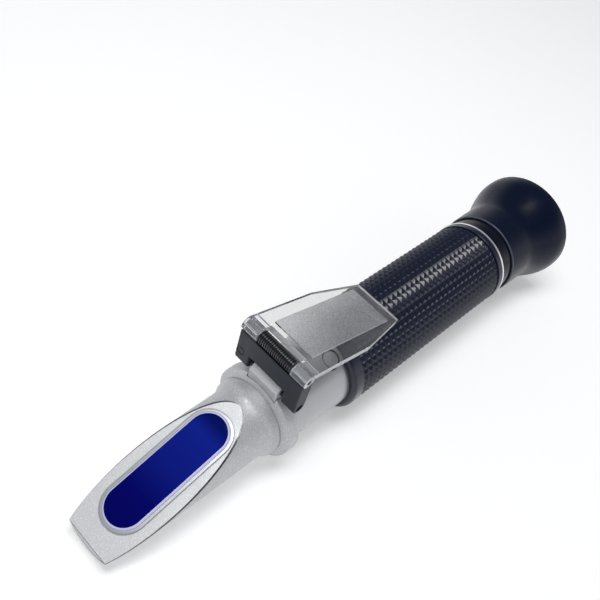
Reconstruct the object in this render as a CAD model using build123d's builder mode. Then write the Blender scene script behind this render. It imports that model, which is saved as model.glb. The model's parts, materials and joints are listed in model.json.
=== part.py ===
from build123d import *
import os
from math import acos, asin, atan, cos, degrees, radians, sin, sqrt, tan

# Hand-held coolant refractometer with a double-hinged daylight plate, lying with the plate folded back.
# All sizes are in millimetres. The origin is the centre of the eyecup rim, on the optical axis.
# +X runs along the optical axis to the nose, +Z points up, to the side of the prism and the plate.

# Lengths along the optical axis, from the eyecup rim to the nose tip
eyecup_length = 31.0
neck_exposed = 4.4
grip_length = 80.6
barrel_exposed = 23.6
collar_width = 4.0
collar_front_slope = 1.1
nose_length = 56.1

# Running and seating clearances
running_gap = 0.05
plate_rest_gap = 0.3
closed_gap = 0.15
hinge_side_gap = 0.35
travel_gap = 0.2

# Barrel, grip and end ring
barrel_radius = 12.7
barrel_wall = 1.5
barrel_insertion = 3.6
grip_wall = 2.3
grip_front_round = 1.7
grip_rear_round = 0.4
grain_pitch = 2.36
grain_depth = 0.6
grain_tip_width = 0.2
grain_front_land = 4.48
grain_rear_land = 2.0
end_ring_proud = 0.1
end_ring_width = 0.7

# Nose casting: a cone with a slanted face on its upper side, and the collar that holds the barrel
nose_taper = 0.27
face_angle = 20.2
tip_face_drop = 7.12
tip_chamfer = 0.4
collar_lip_step = 0.4
collar_lip_width = 2.9
collar_flare = 3.2
collar_flare_rise = 1.26
collar_wall = 2.1
collar_round = 0.8
light_bore_radius = 6.0
light_bore_ledge = 2.2
light_bore_step_depth = 7.0

# Main prism, its place on the slanted face and the sealing frame round it
prism_length = 40.6
prism_width = 12.6
prism_centre = 26.9
prism_proud = 1.0
prism_bevel = 0.35
prism_floor = 6.4
prism_exit_setback = 6.0
prism_exit_cover = 3.0
seal_width = 1.1
seal_depth = 2.5
seal_proud = 0.5
seal_bevel = 0.25

# Lug on the collar and the pin through it
lug_half_width = 5.6
lug_cover = 2.2
lug_front = 2.6
lug_rear = 1.7
lug_bevel = 1.0
link_pin_setback = 3.4
link_pin_rise = 1.0
link_pin_radius = 1.2
pin_end_setback = 0.4

# Hinge link: two legs beside the lug, a cross bar and a knuckle between the plate's ears
link_length = 12.6
link_half_width = 12.2
link_half_thickness = 2.2
link_corner = 0.5
link_notch_half_width = 7.0
link_notch_rise = 3.7
link_shoulder_drop = 1.4
knuckle_half_width = 6.5
knuckle_radius = 2.1
scoop_gap = 0.25
plate_pin_radius = 0.9
ejector_mark_radius = 1.5
ejector_mark_depth = 0.15
ejector_mark_inset = 1.9
ejector_mark_rise = 3.2

# Daylight plate: its ears run on the plate pin, and its raised pad covers the prism when it is shut
ear_radius = 2.25
plate_thickness = 2.0
plate_half_width = 12.3
plate_knee_half_width = 12.06
plate_tip_half_width = 8.47
plate_knee = 27.5
plate_length = 48.0
plate_notch_depth = 3.3
plate_corner_round = 0.8
pad_start = 5.1
pad_end = 43.0
pad_half_width = 7.4
pad_height = 0.4

# Calibration screw and the bush that holds it in the barrel
port_setback = 3.8
port_angle = 22.0
port_recess = 0.25
bush_radius = 3.0
bush_depth = 3.15
bush_flange_radius = 3.7
bush_flange_depth = 1.1
screw_head_radius = 2.5
screw_head_depth = 1.15
screw_recess = 0.05
screw_slot_width = 0.7
screw_slot_depth = 0.5
screw_shank_radius = 1.0
screw_tip_reach = 0.4
screw_clip_radius = 1.8
screw_clip_thickness = 0.3

# Lens carrier: a block on the screw's thread, a bimetal strip and the objective in its cell
carrier_travel = 0.25
carrier_gap = 0.1
carrier_length = 10.0
carrier_width = 7.0
carrier_thickness = 1.5
strip_thickness = 0.4
strip_width = 5.0
strip_length = 20.0
strip_hole_gap = 0.3
strip_screw_radius = 0.6
strip_screw_inset = 1.7
strip_screw_length = 0.9
strip_screw_head_radius = 1.1
strip_screw_head_depth = 0.45
cell_gap = 2.6
cell_length = 5.0
cell_wall = 3.2
cell_lip = 0.6
cell_lip_width = 0.8
objective_rim = 0.6
objective_edge = 1.6
objective_bulge = 0.8

# Reticle in its cell in the barrel
reticle_distance = 15.1
reticle_cell_wall = 2.2
reticle_thickness = 1.2
reticle_cell_length = 4.0
reticle_seat = 1.0
reticle_edge = 1.0
reticle_ring_width = 1.4

# Eyepiece housing: a bush in the barrel's rear end, with the neck and the focusing thread
focus_travel = 2.0
neck_step = 1.6
neck_cover = 0.5
thread_step = 0.1
housing_spigot_length = 11.6
housing_wall = 1.6
guide_pin_radius = 1.0
guide_pin_reach = 4.5
guide_pin_engagement = 1.1
guide_slot_gap = 0.1

# Eyepiece tube and its lenses
tube_wall = 1.25
tube_flange_step = 1.95
tube_flange_width = 1.5
tube_front_reach = 9.6
tube_lip_depth = 1.3
tube_lip_length = 11.0
lens_rim = 1.0
lens_edge = 1.6
lens_bulge = 1.4
lens_spacer_length = 8.5
lens_retainer_width = 1.5

# Focus ring, its retaining ring and the rubber eyecup on it
ring_wall = 1.25
ring_stop_gap = 0.5
ring_shoulder_width = 1.3
ring_shoulder_depth = 1.5
retaining_ring_width = 1.2
retaining_ring_depth = 2.5
capture_gap = 0.1
eyecup_rim_radius = 19.75
eyecup_rim_land = 4.0
eyecup_rim_wall = 1.5
eyecup_waist = 19.0
eyecup_waist_wall = 0.9
eyecup_front_wall = 0.7
eyecup_front_round = 0.3
skirt_gap = 0.1
bell_depth = 13.0
bell_floor = 1.4
bell_floor_width = 2.4
bell_lip = 0.4

# Stations along the axis
x_cup_front = eyecup_length
x_grip_rear = x_cup_front + neck_exposed
x_grip_front = x_grip_rear + grip_length
x_collar_rear = x_grip_front + barrel_exposed
x_collar_rim = x_collar_rear + collar_width
x_collar_front = x_collar_rim + collar_front_slope
x_flare_end = x_collar_front + collar_lip_width
x_flare_start = x_flare_end + collar_flare
x_tip = x_collar_front + nose_length
x_barrel_front = x_collar_rear + barrel_insertion

# Radii round the barrel: the sleeve, rings, collar and neck outside it, and the cells and the tube inside
barrel_bore = barrel_radius - barrel_wall
grip_radius = barrel_radius + grip_wall
end_ring_radius = grip_radius + end_ring_proud
collar_radius = barrel_radius + collar_wall
collar_lip_radius = barrel_radius - collar_lip_step
nose_root_radius = collar_lip_radius - collar_flare_rise
nose_tip_radius = nose_root_radius - nose_taper
light_bore_step = barrel_bore - light_bore_ledge
neck_radius = barrel_radius + neck_step
thread_radius = barrel_radius - thread_step
cell_radius = barrel_bore - cell_gap
objective_radius = cell_radius - cell_wall
reticle_radius = barrel_bore - reticle_cell_wall
reticle_aperture = reticle_radius - reticle_edge
housing_bore = barrel_bore - housing_wall
guide_pin_tip = housing_bore - guide_pin_engagement
tube_radius = housing_bore - running_gap
tube_bore = tube_radius - tube_wall
tube_lip_radius = tube_bore - tube_lip_depth
tube_flange_radius = tube_radius + tube_flange_step
ring_shoulder_radius = tube_flange_radius - ring_shoulder_depth
retaining_ring_bore = tube_flange_radius - retaining_ring_depth
ring_radius = thread_radius + running_gap + ring_wall
skirt_radius = neck_radius + skirt_gap
eyecup_waist_radius = skirt_radius + eyecup_waist_wall
eyecup_front_radius = skirt_radius + eyecup_front_wall
bell_aperture = retaining_ring_bore - bell_lip
bell_floor_radius = bell_aperture + bell_floor_width

# Heights along the calibration screw, from the optical axis
bush_top = barrel_radius - port_recess
bush_bottom = bush_top - bush_depth
screw_top = bush_top - screw_recess
screw_seat = screw_top - screw_head_depth
clip_top = bush_bottom - running_gap
carrier_top = clip_top - screw_clip_thickness - carrier_travel - carrier_gap
carrier_bottom = carrier_top - carrier_thickness
strip_bottom = carrier_bottom - strip_thickness
screw_tip = strip_bottom - screw_tip_reach

# Hinge geometry: the link stands upright, and the plate leans back until its tip is just over the grip
x_hinge = x_collar_front - link_pin_setback
z_link_pin = collar_radius + link_pin_rise
z_plate_pin = z_link_pin + link_length
underside = ear_radius - plate_thickness
fold_drop = z_plate_pin - grip_radius - plate_rest_gap
tip_reach = sqrt(plate_length ** 2 + underside ** 2)
fold_angle = degrees(asin(fold_drop / tip_reach) + atan(underside / plate_length))

# Closing angles: the link swings forward until the pad comes down flat on the prism
slope = radians(face_angle)
pin_over_face = prism_proud + closed_gap + pad_height + ear_radius
link_pin_over_face = (x_hinge - x_tip) * sin(slope) + (z_link_pin + tip_face_drop) * cos(slope)
link_turn = face_angle + degrees(acos((pin_over_face - link_pin_over_face) / link_length))
plate_turn = 180 + face_angle + fold_angle - link_turn
print(f"link turns {link_turn:.3f} degrees, plate turns {plate_turn:.3f} degrees on it")
print(f"hinge pins at x {x_hinge:.3f}, z {z_link_pin:.3f} and z {z_plate_pin:.3f}")

# The slanted face, with local x down along it to the tip and local z out of the casting
face_plane = Plane(
    origin=(x_tip, 0, -tip_face_drop),
    x_dir=(cos(slope), 0, -sin(slope)),
    z_dir=(sin(slope), 0, cos(slope)),
)
prism_plane = Plane(
    origin=(x_tip - prism_centre * cos(slope), 0, prism_centre * sin(slope) - tip_face_drop),
    x_dir=face_plane.x_dir,
    z_dir=face_plane.z_dir,
)

# The folded plate: local x runs from the plate pin to the plate's tip, local z out of the padded side
fold = radians(fold_angle)
plate_plane = Plane(
    origin=(x_hinge, 0, z_plate_pin),
    x_dir=(-cos(fold), 0, -sin(fold)),
    z_dir=(-sin(fold), 0, cos(fold)),
)

# The side view of the link, with local y up from the link pin, and the two pins lying across
link_plane = Plane(origin=(x_hinge, 0, z_link_pin), x_dir=(1, 0, 0), z_dir=(0, -1, 0))
link_pin_place = Location((x_hinge, 0, z_link_pin), (90, 0, 0))
plate_pin_place = Location((x_hinge, 0, z_plate_pin), (90, 0, 0))

# The calibration port: local z runs out along the screw, local x along the barrel
port_tilt = radians(port_angle)
x_port = x_grip_front + port_setback
port_plane = Plane(origin=(x_port, 0, 0), x_dir=(1, 0, 0), z_dir=(0, sin(port_tilt), cos(port_tilt)))

os.makedirs("parts", exist_ok=True)


def band(x_start, x_end, inner, outer, mode=Mode.ADD):
    """Adds one rectangle of a half section to the current sketch, or cuts it away."""
    with Locations(((x_start + x_end) / 2, (inner + outer) / 2)):
        Rectangle(x_end - x_start, outer - inner, mode=mode)


def face_height(x):
    """The height of the slanted face over the optical axis at one place along it."""
    return (x_tip - x) * tan(slope) - tip_face_drop


def lens_section(x_flat, edge, rim, radius, bulge):
    """The half section of a lens: a flat side, a straight edge, a flat rim and a round cap."""
    x_rim = x_flat + edge
    x_apex = x_rim + bulge
    cap_radius = radius - rim
    sphere = (cap_radius ** 2 + bulge ** 2) / (2 * bulge)
    half = asin(cap_radius / abs(sphere)) / 2
    with BuildSketch(Plane.XZ) as section:
        with BuildLine():
            Polyline((x_rim, cap_radius), (x_rim, radius), (x_flat, radius), (x_flat, 0), (x_apex, 0))
            ThreePointArc(
                (x_apex, 0),
                (x_apex - sphere * (1 - cos(half)), abs(sphere) * sin(half)),
                (x_rim, cap_radius),
            )
        make_face()
    return section.sketch


def save(piece, name):
    """Labels a finished piece and writes its STEP file."""
    piece.part.label = name
    export_step(piece.part, f"parts/{name}.step")


# Prism housing: the nose cone with its slanted face, the flare up to the collar, and the lug
x_prism_end = x_tip - (prism_centre + prism_length / 2) * cos(slope)
x_exit = x_prism_end + prism_exit_setback
z_exit = face_height(x_exit) - prism_exit_cover
x_face_overrun = x_tip + tip_face_drop
with BuildPart() as prism_pocket:
    with BuildSketch(prism_plane):
        SlotOverall(prism_length + 2 * seal_width, prism_width + 2 * seal_width)
    extrude(amount=-prism_length)
    split(bisect_by=Plane.XY.offset(-prism_floor), keep=Keep.TOP)
with BuildPart() as prism_housing:
    with BuildSketch(Plane.XZ):
        with BuildLine():
            Polyline(
                (x_flare_end, collar_lip_radius),
                (x_collar_front, collar_lip_radius),
                (x_collar_rim, collar_radius),
                (x_collar_rear, collar_radius),
                (x_collar_rear, 0),
                (x_tip, 0),
                (x_tip, nose_tip_radius),
                (x_flare_start, nose_root_radius),
            )
            TangentArc(
                (x_flare_start, nose_root_radius),
                (x_flare_end, collar_lip_radius),
                tangent=(x_flare_start - x_tip, nose_root_radius - nose_tip_radius),
            )
        make_face()
    revolve(axis=Axis.X)
    fillet(prism_housing.edges().filter_by(GeomType.CIRCLE).group_by(SortBy.RADIUS)[-1], collar_round)
    with BuildSketch(Plane.XZ):
        with BuildLine():
            Polyline(
                (x_flare_end, face_height(x_flare_end)),
                (x_flare_end, 2 * collar_radius),
                (x_face_overrun, 2 * collar_radius),
                (x_face_overrun, face_height(x_face_overrun)),
                close=True,
            )
        make_face()
    extrude(amount=collar_radius, both=True, mode=Mode.SUBTRACT)
    chamfer(prism_housing.edges().group_by(Axis.X)[-1], tip_chamfer)
    with BuildSketch(Plane.XZ):
        with BuildLine():
            Polyline(
                (x_hinge - lug_rear, 0),
                (x_hinge - lug_rear, z_link_pin + lug_cover - lug_bevel),
                (x_hinge - lug_rear + lug_bevel, z_link_pin + lug_cover),
                (x_hinge + lug_front - lug_bevel, z_link_pin + lug_cover),
                (x_hinge + lug_front, z_link_pin + lug_cover - lug_bevel),
                (x_hinge + lug_front, 0),
                close=True,
            )
        make_face()
    extrude(amount=lug_half_width, both=True)
    add(prism_pocket.part, mode=Mode.SUBTRACT)
    with BuildSketch(Plane.XZ):
        band(x_collar_rear, x_barrel_front, 0, barrel_radius)
        band(x_barrel_front, x_barrel_front + light_bore_step_depth, 0, light_bore_step)
        band(x_barrel_front, x_exit, 0, light_bore_radius)
    revolve(axis=Axis.X, mode=Mode.SUBTRACT)
    with Locations(link_pin_place):
        Cylinder(link_pin_radius, 4 * lug_half_width, mode=Mode.SUBTRACT)
save(prism_housing, "prism_housing")

# Main prism: a wedge with a flat floor and an upright exit face towards the objective
with BuildPart() as main_prism:
    with BuildSketch(prism_plane.offset(prism_proud)):
        SlotOverall(prism_length, prism_width)
    extrude(amount=-prism_length)
    chamfer(main_prism.faces().sort_by(Axis.Z)[-1].edges(), prism_bevel)
    split(bisect_by=Plane.XY.offset(-prism_floor), keep=Keep.TOP)
    with BuildSketch(Plane.XZ):
        with BuildLine():
            Polyline(
                (x_exit, z_exit),
                (x_exit - prism_length, z_exit + prism_length * tan(slope)),
                (x_exit - prism_length, -2 * prism_floor),
                (x_exit, -2 * prism_floor),
                close=True,
            )
        make_face()
    extrude(amount=prism_width, both=True, mode=Mode.SUBTRACT)
save(main_prism, "main_prism")

# Prism seal: the frame that fills the upper part of the pocket round the prism
with BuildPart() as prism_seal:
    with BuildSketch(prism_plane.offset(seal_proud)):
        SlotOverall(prism_length + 2 * seal_width, prism_width + 2 * seal_width)
    extrude(amount=-(seal_proud + seal_depth))
    chamfer(prism_seal.faces().sort_by(Axis.Z)[-1].edges(), seal_bevel)
    with BuildSketch(prism_plane.offset(seal_proud)):
        SlotOverall(prism_length, prism_width)
    extrude(amount=-2 * (seal_proud + seal_depth), mode=Mode.SUBTRACT)
    split(bisect_by=Plane.XY.offset(-prism_floor), keep=Keep.TOP)
save(prism_seal, "prism_seal")

# Link pin: pressed into the lug, with a leg of the link turning on each end
with BuildPart() as link_pin:
    with Locations(link_pin_place):
        Cylinder(link_pin_radius, 2 * (link_half_width - pin_end_setback))
save(link_pin, "link_pin")

# Hinge link: a flat bar with a notch for the lug, scoops for the plate's ears and a knuckle between them
link_shoulder = link_length - link_shoulder_drop
with BuildPart() as hinge_link:
    with BuildSketch(link_plane):
        Circle(link_half_thickness)
        with Locations((0, link_shoulder / 2)):
            Rectangle(2 * link_half_thickness, link_shoulder)
    extrude(amount=link_half_width, both=True)
    chamfer(hinge_link.edges().filter_by(Axis.Z), link_corner)
    with Locations(plate_pin_place):
        Cylinder(ear_radius + scoop_gap, 3 * link_half_width, mode=Mode.SUBTRACT)
    with BuildSketch(link_plane):
        with Locations((0, link_length)):
            Circle(knuckle_radius)
        with Locations((0, (link_notch_rise + link_length) / 2)):
            Rectangle(2 * knuckle_radius, link_length - link_notch_rise)
    extrude(amount=knuckle_half_width, both=True)
    with Locations((x_hinge, 0, z_link_pin)):
        Box(4 * link_half_thickness, 2 * link_notch_half_width, 2 * link_notch_rise, mode=Mode.SUBTRACT)
    with Locations(link_pin_place):
        Cylinder(link_pin_radius + running_gap, 3 * link_half_width, mode=Mode.SUBTRACT)
    with Locations(plate_pin_place):
        Cylinder(plate_pin_radius, 3 * link_half_width, mode=Mode.SUBTRACT)
    ejector_mark = (
        x_hinge + link_half_thickness,
        ejector_mark_inset - link_half_width,
        z_link_pin + ejector_mark_rise,
    )
    with Locations(Location(ejector_mark, (0, 90, 0))):
        Cylinder(ejector_mark_radius, 2 * ejector_mark_depth, mode=Mode.SUBTRACT)
save(hinge_link, "hinge_link")

# Plate pin: pressed into the knuckle, with an ear of the plate turning on each end
with BuildPart() as plate_pin:
    with Locations(plate_pin_place):
        Cylinder(plate_pin_radius, 2 * (plate_half_width - pin_end_setback))
save(plate_pin, "plate_pin")

# Daylight plate: a clear tapering sheet with a raised frosted pad and two ears
with BuildPart() as daylight_plate:
    with BuildSketch(plate_plane.offset(underside)) as plate_outline:
        with BuildLine():
            Polyline(
                (0, -plate_half_width),
                (plate_knee, -plate_knee_half_width),
                (plate_length, -plate_tip_half_width),
                (plate_length, plate_tip_half_width),
                (plate_knee, plate_knee_half_width),
                (0, plate_half_width),
                close=True,
            )
        make_face()
        fillet(plate_outline.vertices().group_by(Axis.X)[-1], plate_corner_round)
    extrude(amount=plate_thickness)
    with BuildSketch(plate_plane.offset(ear_radius)):
        with Locations(((pad_start + pad_end) / 2, 0)):
            Rectangle(pad_end - pad_start, 2 * pad_half_width)
    extrude(amount=pad_height)
    with Locations(plate_pin_place):
        Cylinder(ear_radius, 2 * plate_half_width)
    with Locations(plate_plane.location):
        Box(
            2 * plate_notch_depth,
            2 * (knuckle_half_width + hinge_side_gap),
            3 * ear_radius,
            mode=Mode.SUBTRACT,
        )
    with Locations(plate_pin_place):
        Cylinder(plate_pin_radius + running_gap, 3 * plate_half_width, mode=Mode.SUBTRACT)
save(daylight_plate, "daylight_plate")

# Barrel: the aluminium tube from the collar to the grip's rear end, with the port for the screw
with BuildPart() as barrel:
    with BuildSketch(Plane.XZ):
        band(x_grip_rear, x_barrel_front, barrel_bore, barrel_radius)
    revolve(axis=Axis.X)
    with BuildSketch(port_plane):
        Circle(bush_radius)
    extrude(amount=2 * barrel_radius, mode=Mode.SUBTRACT)
save(barrel, "barrel")

# Calibration bush: a flanged bush from inside the barrel, with a pocket for the screw's head
with BuildPart() as calibration_bush:
    with BuildSketch(port_plane.offset(bush_bottom)):
        Circle(bush_radius)
    extrude(amount=bush_depth)
    with BuildSketch(port_plane.offset(bush_bottom)):
        Circle(bush_flange_radius)
    extrude(amount=bush_flange_depth)
    with BuildSketch(port_plane.offset(screw_seat - running_gap)):
        Circle(screw_head_radius + running_gap)
    extrude(amount=bush_top - screw_seat + running_gap, mode=Mode.SUBTRACT)
    with BuildSketch(port_plane):
        Circle(screw_shank_radius + running_gap)
    extrude(amount=bush_top, mode=Mode.SUBTRACT)
save(calibration_bush, "calibration_bush")

# Calibration screw, with the clip that keeps it in its bush
with BuildPart() as calibration_screw:
    with BuildSketch(port_plane.offset(screw_tip)):
        Circle(screw_shank_radius)
    extrude(amount=screw_top - screw_tip)
    with BuildSketch(port_plane.offset(screw_seat)):
        Circle(screw_head_radius)
    extrude(amount=screw_head_depth)
    with BuildSketch(port_plane.offset(screw_top)):
        Rectangle(3 * screw_head_radius, screw_slot_width)
    extrude(amount=-screw_slot_depth, mode=Mode.SUBTRACT)
save(calibration_screw, "calibration_screw")

with BuildPart() as screw_clip:
    with BuildSketch(port_plane.offset(clip_top)):
        Circle(screw_clip_radius)
        Circle(screw_shank_radius, mode=Mode.SUBTRACT)
    extrude(amount=-screw_clip_thickness)
save(screw_clip, "screw_clip")

# Lens carrier: the block under the clip, with the strip screwed to its inner face
strip_rear = -carrier_length / 2
strip_front = strip_rear + strip_length
block_screw_spots = [
    (strip_rear + strip_screw_inset, 0),
    (strip_rear + carrier_length - strip_screw_inset, 0),
]
cell_screw_spots = [(strip_front - cell_length / 2, 0)]
with BuildPart() as carrier_block:
    with BuildSketch(port_plane.offset(carrier_bottom)):
        Rectangle(carrier_length, carrier_width)
        Circle(screw_shank_radius + running_gap, mode=Mode.SUBTRACT)
    extrude(amount=carrier_thickness)
    with BuildSketch(port_plane.offset(carrier_bottom)):
        with Locations(block_screw_spots):
            Circle(strip_screw_radius)
    extrude(amount=strip_screw_length, mode=Mode.SUBTRACT)
save(carrier_block, "carrier_block")

with BuildPart() as bimetal_strip:
    with BuildSketch(port_plane.offset(strip_bottom)):
        with Locations(((strip_rear + strip_front) / 2, 0)):
            Rectangle(strip_length, strip_width)
        Circle(screw_shank_radius + strip_hole_gap, mode=Mode.SUBTRACT)
        with Locations(block_screw_spots + cell_screw_spots):
            Circle(strip_screw_radius, mode=Mode.SUBTRACT)
    extrude(amount=strip_thickness)
save(bimetal_strip, "bimetal_strip")

# Strip screws: two into the block from below, and one into the lens cell from above
with BuildPart() as strip_screws:
    with BuildSketch(port_plane.offset(strip_bottom)):
        with Locations(block_screw_spots):
            Circle(strip_screw_head_radius)
    extrude(amount=-strip_screw_head_depth)
    with BuildSketch(port_plane.offset(strip_bottom)):
        with Locations(block_screw_spots):
            Circle(strip_screw_radius)
    extrude(amount=strip_thickness + strip_screw_length)
    with BuildSketch(port_plane.offset(carrier_bottom)):
        with Locations(cell_screw_spots):
            Circle(strip_screw_head_radius)
    extrude(amount=strip_screw_head_depth)
    with BuildSketch(port_plane.offset(carrier_bottom)):
        with Locations(cell_screw_spots):
            Circle(strip_screw_radius)
    extrude(amount=-(strip_thickness + strip_screw_length))
save(strip_screws, "strip_screws")

# Lens cell: a ring with a flat for the strip, and a lip that the objective seats on
x_cell_front = x_port + strip_front
x_cell_rear = x_cell_front - cell_length
with BuildPart() as lens_cell:
    with BuildSketch(Plane.XZ):
        band(x_cell_rear, x_cell_front - cell_lip, objective_radius, cell_radius)
        band(x_cell_front - cell_lip, x_cell_front, objective_radius - cell_lip_width, cell_radius)
    revolve(axis=Axis.X)
    split(bisect_by=port_plane.offset(strip_bottom), keep=Keep.BOTTOM)
    with BuildSketch(port_plane.offset(strip_bottom)):
        with Locations(cell_screw_spots):
            Circle(strip_screw_radius)
    extrude(amount=-strip_screw_length, mode=Mode.SUBTRACT)
save(lens_cell, "lens_cell")

objective_section = lens_section(
    x_cell_front - cell_lip,
    -objective_edge,
    objective_rim,
    objective_radius,
    -objective_bulge,
)
with BuildPart() as objective_lens:
    revolve(objective_section, axis=Axis.X)
save(objective_lens, "objective_lens")

# Grip: the rubber sleeve on the barrel, with the rows of its grain as sharp rings between two plain lands,
# and the bright ring at its rear end
x_sleeve_rear = x_grip_rear + end_ring_width
x_grain_front = x_grip_front - grain_front_land
grain_rows = int((x_grain_front - x_sleeve_rear - grain_rear_land) / grain_pitch)
x_grain_rear = x_grain_front - grain_rows * grain_pitch
grain_floor_radius = grip_radius - grain_depth
with BuildPart() as grip_sleeve:
    with BuildSketch(Plane.XZ) as grip_section:
        band(x_sleeve_rear, x_grip_front, barrel_radius, grip_radius)
        fillet(grip_section.vertices().sort_by(Axis.X)[-2:].sort_by(Axis.Y)[-1], grip_front_round)
        fillet(grip_section.vertices().sort_by(Axis.X)[:2].sort_by(Axis.Y)[-1], grip_rear_round)
        band(x_grain_rear, x_grain_front, grain_floor_radius, grip_radius, Mode.SUBTRACT)
        with Locations(((x_grain_rear + x_grain_front) / 2, grain_floor_radius)):
            with GridLocations(grain_pitch, 1, grain_rows, 1):
                Polygon(
                    (-grain_pitch / 2, 0),
                    (-grain_tip_width / 2, grain_depth),
                    (grain_tip_width / 2, grain_depth),
                    (grain_pitch / 2, 0),
                    align=None,
                )
    revolve(axis=Axis.X)
save(grip_sleeve, "grip_sleeve")

with BuildPart() as grip_end_ring:
    with BuildSketch(Plane.XZ):
        band(x_grip_rear, x_grip_rear + end_ring_width, barrel_radius, end_ring_radius)
    revolve(axis=Axis.X)
save(grip_end_ring, "grip_end_ring")

# Reticle: the scale glass in a cell in the barrel, held by a threaded ring
x_reticle_rear = x_grip_rear + reticle_distance
x_reticle_front = x_reticle_rear + reticle_cell_length
with BuildPart() as reticle_cell:
    with BuildSketch(Plane.XZ):
        band(x_reticle_rear, x_reticle_front, reticle_radius, barrel_bore)
        band(x_reticle_front - reticle_seat, x_reticle_front, reticle_aperture, barrel_bore)
    revolve(axis=Axis.X)
save(reticle_cell, "reticle_cell")

x_reticle_seat = x_reticle_front - reticle_seat
with BuildPart() as reticle:
    with BuildSketch(Plane.XZ):
        band(x_reticle_seat - reticle_thickness, x_reticle_seat, 0, reticle_radius)
    revolve(axis=Axis.X)
save(reticle, "reticle")

with BuildPart() as reticle_ring:
    with BuildSketch(Plane.XZ):
        band(
            x_reticle_seat - reticle_thickness - reticle_ring_width,
            x_reticle_seat - reticle_thickness,
            reticle_aperture,
            reticle_radius,
        )
    revolve(axis=Axis.X)
save(reticle_ring, "reticle_ring")

# Stations of the focusing parts, from the eyecup's floor forwards
x_ring_rear = bell_depth + bell_floor
x_flange_rear = x_ring_rear + retaining_ring_width + capture_gap
x_flange_front = x_flange_rear + tube_flange_width
x_shoulder_rear = x_flange_front + capture_gap
x_shoulder_front = x_shoulder_rear + ring_shoulder_width
x_thread_rear = x_shoulder_front + focus_travel + travel_gap
x_neck_rear = x_cup_front - focus_travel - neck_cover
x_ring_front = x_neck_rear - focus_travel - ring_stop_gap
x_spigot_front = x_grip_rear + housing_spigot_length
x_tube_front = x_grip_rear + tube_front_reach
x_guide_pin = x_grip_rear + guide_pin_reach

# Eyepiece housing: the spigot in the barrel, the neck and the threaded end that carries the focus ring
with BuildPart() as eyepiece_housing:
    with BuildSketch(Plane.XZ):
        band(x_thread_rear, x_neck_rear, housing_bore, thread_radius)
        band(x_neck_rear, x_grip_rear, housing_bore, neck_radius)
        band(x_grip_rear, x_spigot_front, housing_bore, barrel_bore)
    revolve(axis=Axis.X)
    with BuildSketch(Plane.XY):
        with Locations((x_guide_pin, 0)):
            Circle(guide_pin_radius)
    extrude(amount=-2 * barrel_radius, mode=Mode.SUBTRACT)
save(eyepiece_housing, "eyepiece_housing")

# Guide pin: it keeps the eyepiece tube from turning
with BuildPart() as guide_pin:
    with BuildSketch(Plane.XY.offset(-guide_pin_tip)):
        with Locations((x_guide_pin, 0)):
            Circle(guide_pin_radius)
    extrude(amount=guide_pin_tip - barrel_bore + running_gap)
save(guide_pin, "guide_pin")

# Eyepiece tube: it slides in the housing, with a slot for the guide pin and a flange in the focus ring
x_lens_seat = x_tube_front - tube_lip_length
with BuildPart() as eyepiece_tube:
    with BuildSketch(Plane.XZ):
        band(x_flange_rear, x_flange_front, tube_bore, tube_flange_radius)
        band(x_flange_front, x_lens_seat, tube_bore, tube_radius)
        band(x_lens_seat, x_tube_front, tube_lip_radius, tube_radius)
    revolve(axis=Axis.X)
    with BuildSketch(Plane.XY):
        with Locations((x_guide_pin, 0)):
            SlotCenterToCenter(2 * focus_travel, 2 * (guide_pin_radius + guide_slot_gap))
    extrude(amount=-2 * housing_bore, mode=Mode.SUBTRACT)
save(eyepiece_tube, "eyepiece_tube")

# Lenses of the eyepiece, from the reticle's side to the eye
x_field_rim = x_lens_seat - lens_edge
x_eye_rim = x_field_rim - lens_spacer_length
x_eye_flat = x_eye_rim - lens_edge
field_lens_section = lens_section(x_lens_seat, -lens_edge, lens_rim, tube_bore, -lens_bulge)
with BuildPart() as field_lens:
    revolve(field_lens_section, axis=Axis.X)
save(field_lens, "field_lens")

with BuildPart() as lens_spacer:
    with BuildSketch(Plane.XZ):
        band(x_eye_rim, x_field_rim, tube_bore - lens_rim, tube_bore)
    revolve(axis=Axis.X)
save(lens_spacer, "lens_spacer")

eye_lens_section = lens_section(x_eye_flat, lens_edge, lens_rim, tube_bore, lens_bulge)
with BuildPart() as eye_lens:
    revolve(eye_lens_section, axis=Axis.X)
save(eye_lens, "eye_lens")

with BuildPart() as lens_retainer:
    with BuildSketch(Plane.XZ):
        band(x_eye_flat - lens_retainer_width, x_eye_flat, tube_bore - lens_rim, tube_bore)
    revolve(axis=Axis.X)
save(lens_retainer, "lens_retainer")

# Focus ring: it runs on the housing's thread and carries the tube's flange
with BuildPart() as focus_ring:
    with BuildSketch(Plane.XZ):
        band(x_ring_rear, x_shoulder_rear, tube_flange_radius + running_gap, ring_radius)
        band(x_shoulder_rear, x_shoulder_front, ring_shoulder_radius, ring_radius)
        band(x_shoulder_front, x_ring_front, thread_radius + running_gap, ring_radius)
    revolve(axis=Axis.X)
save(focus_ring, "focus_ring")

with BuildPart() as retaining_ring:
    with BuildSketch(Plane.XZ):
        band(
            x_ring_rear,
            x_ring_rear + retaining_ring_width,
            retaining_ring_bore,
            tube_flange_radius + running_gap,
        )
    revolve(axis=Axis.X)
save(retaining_ring, "retaining_ring")

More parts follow.
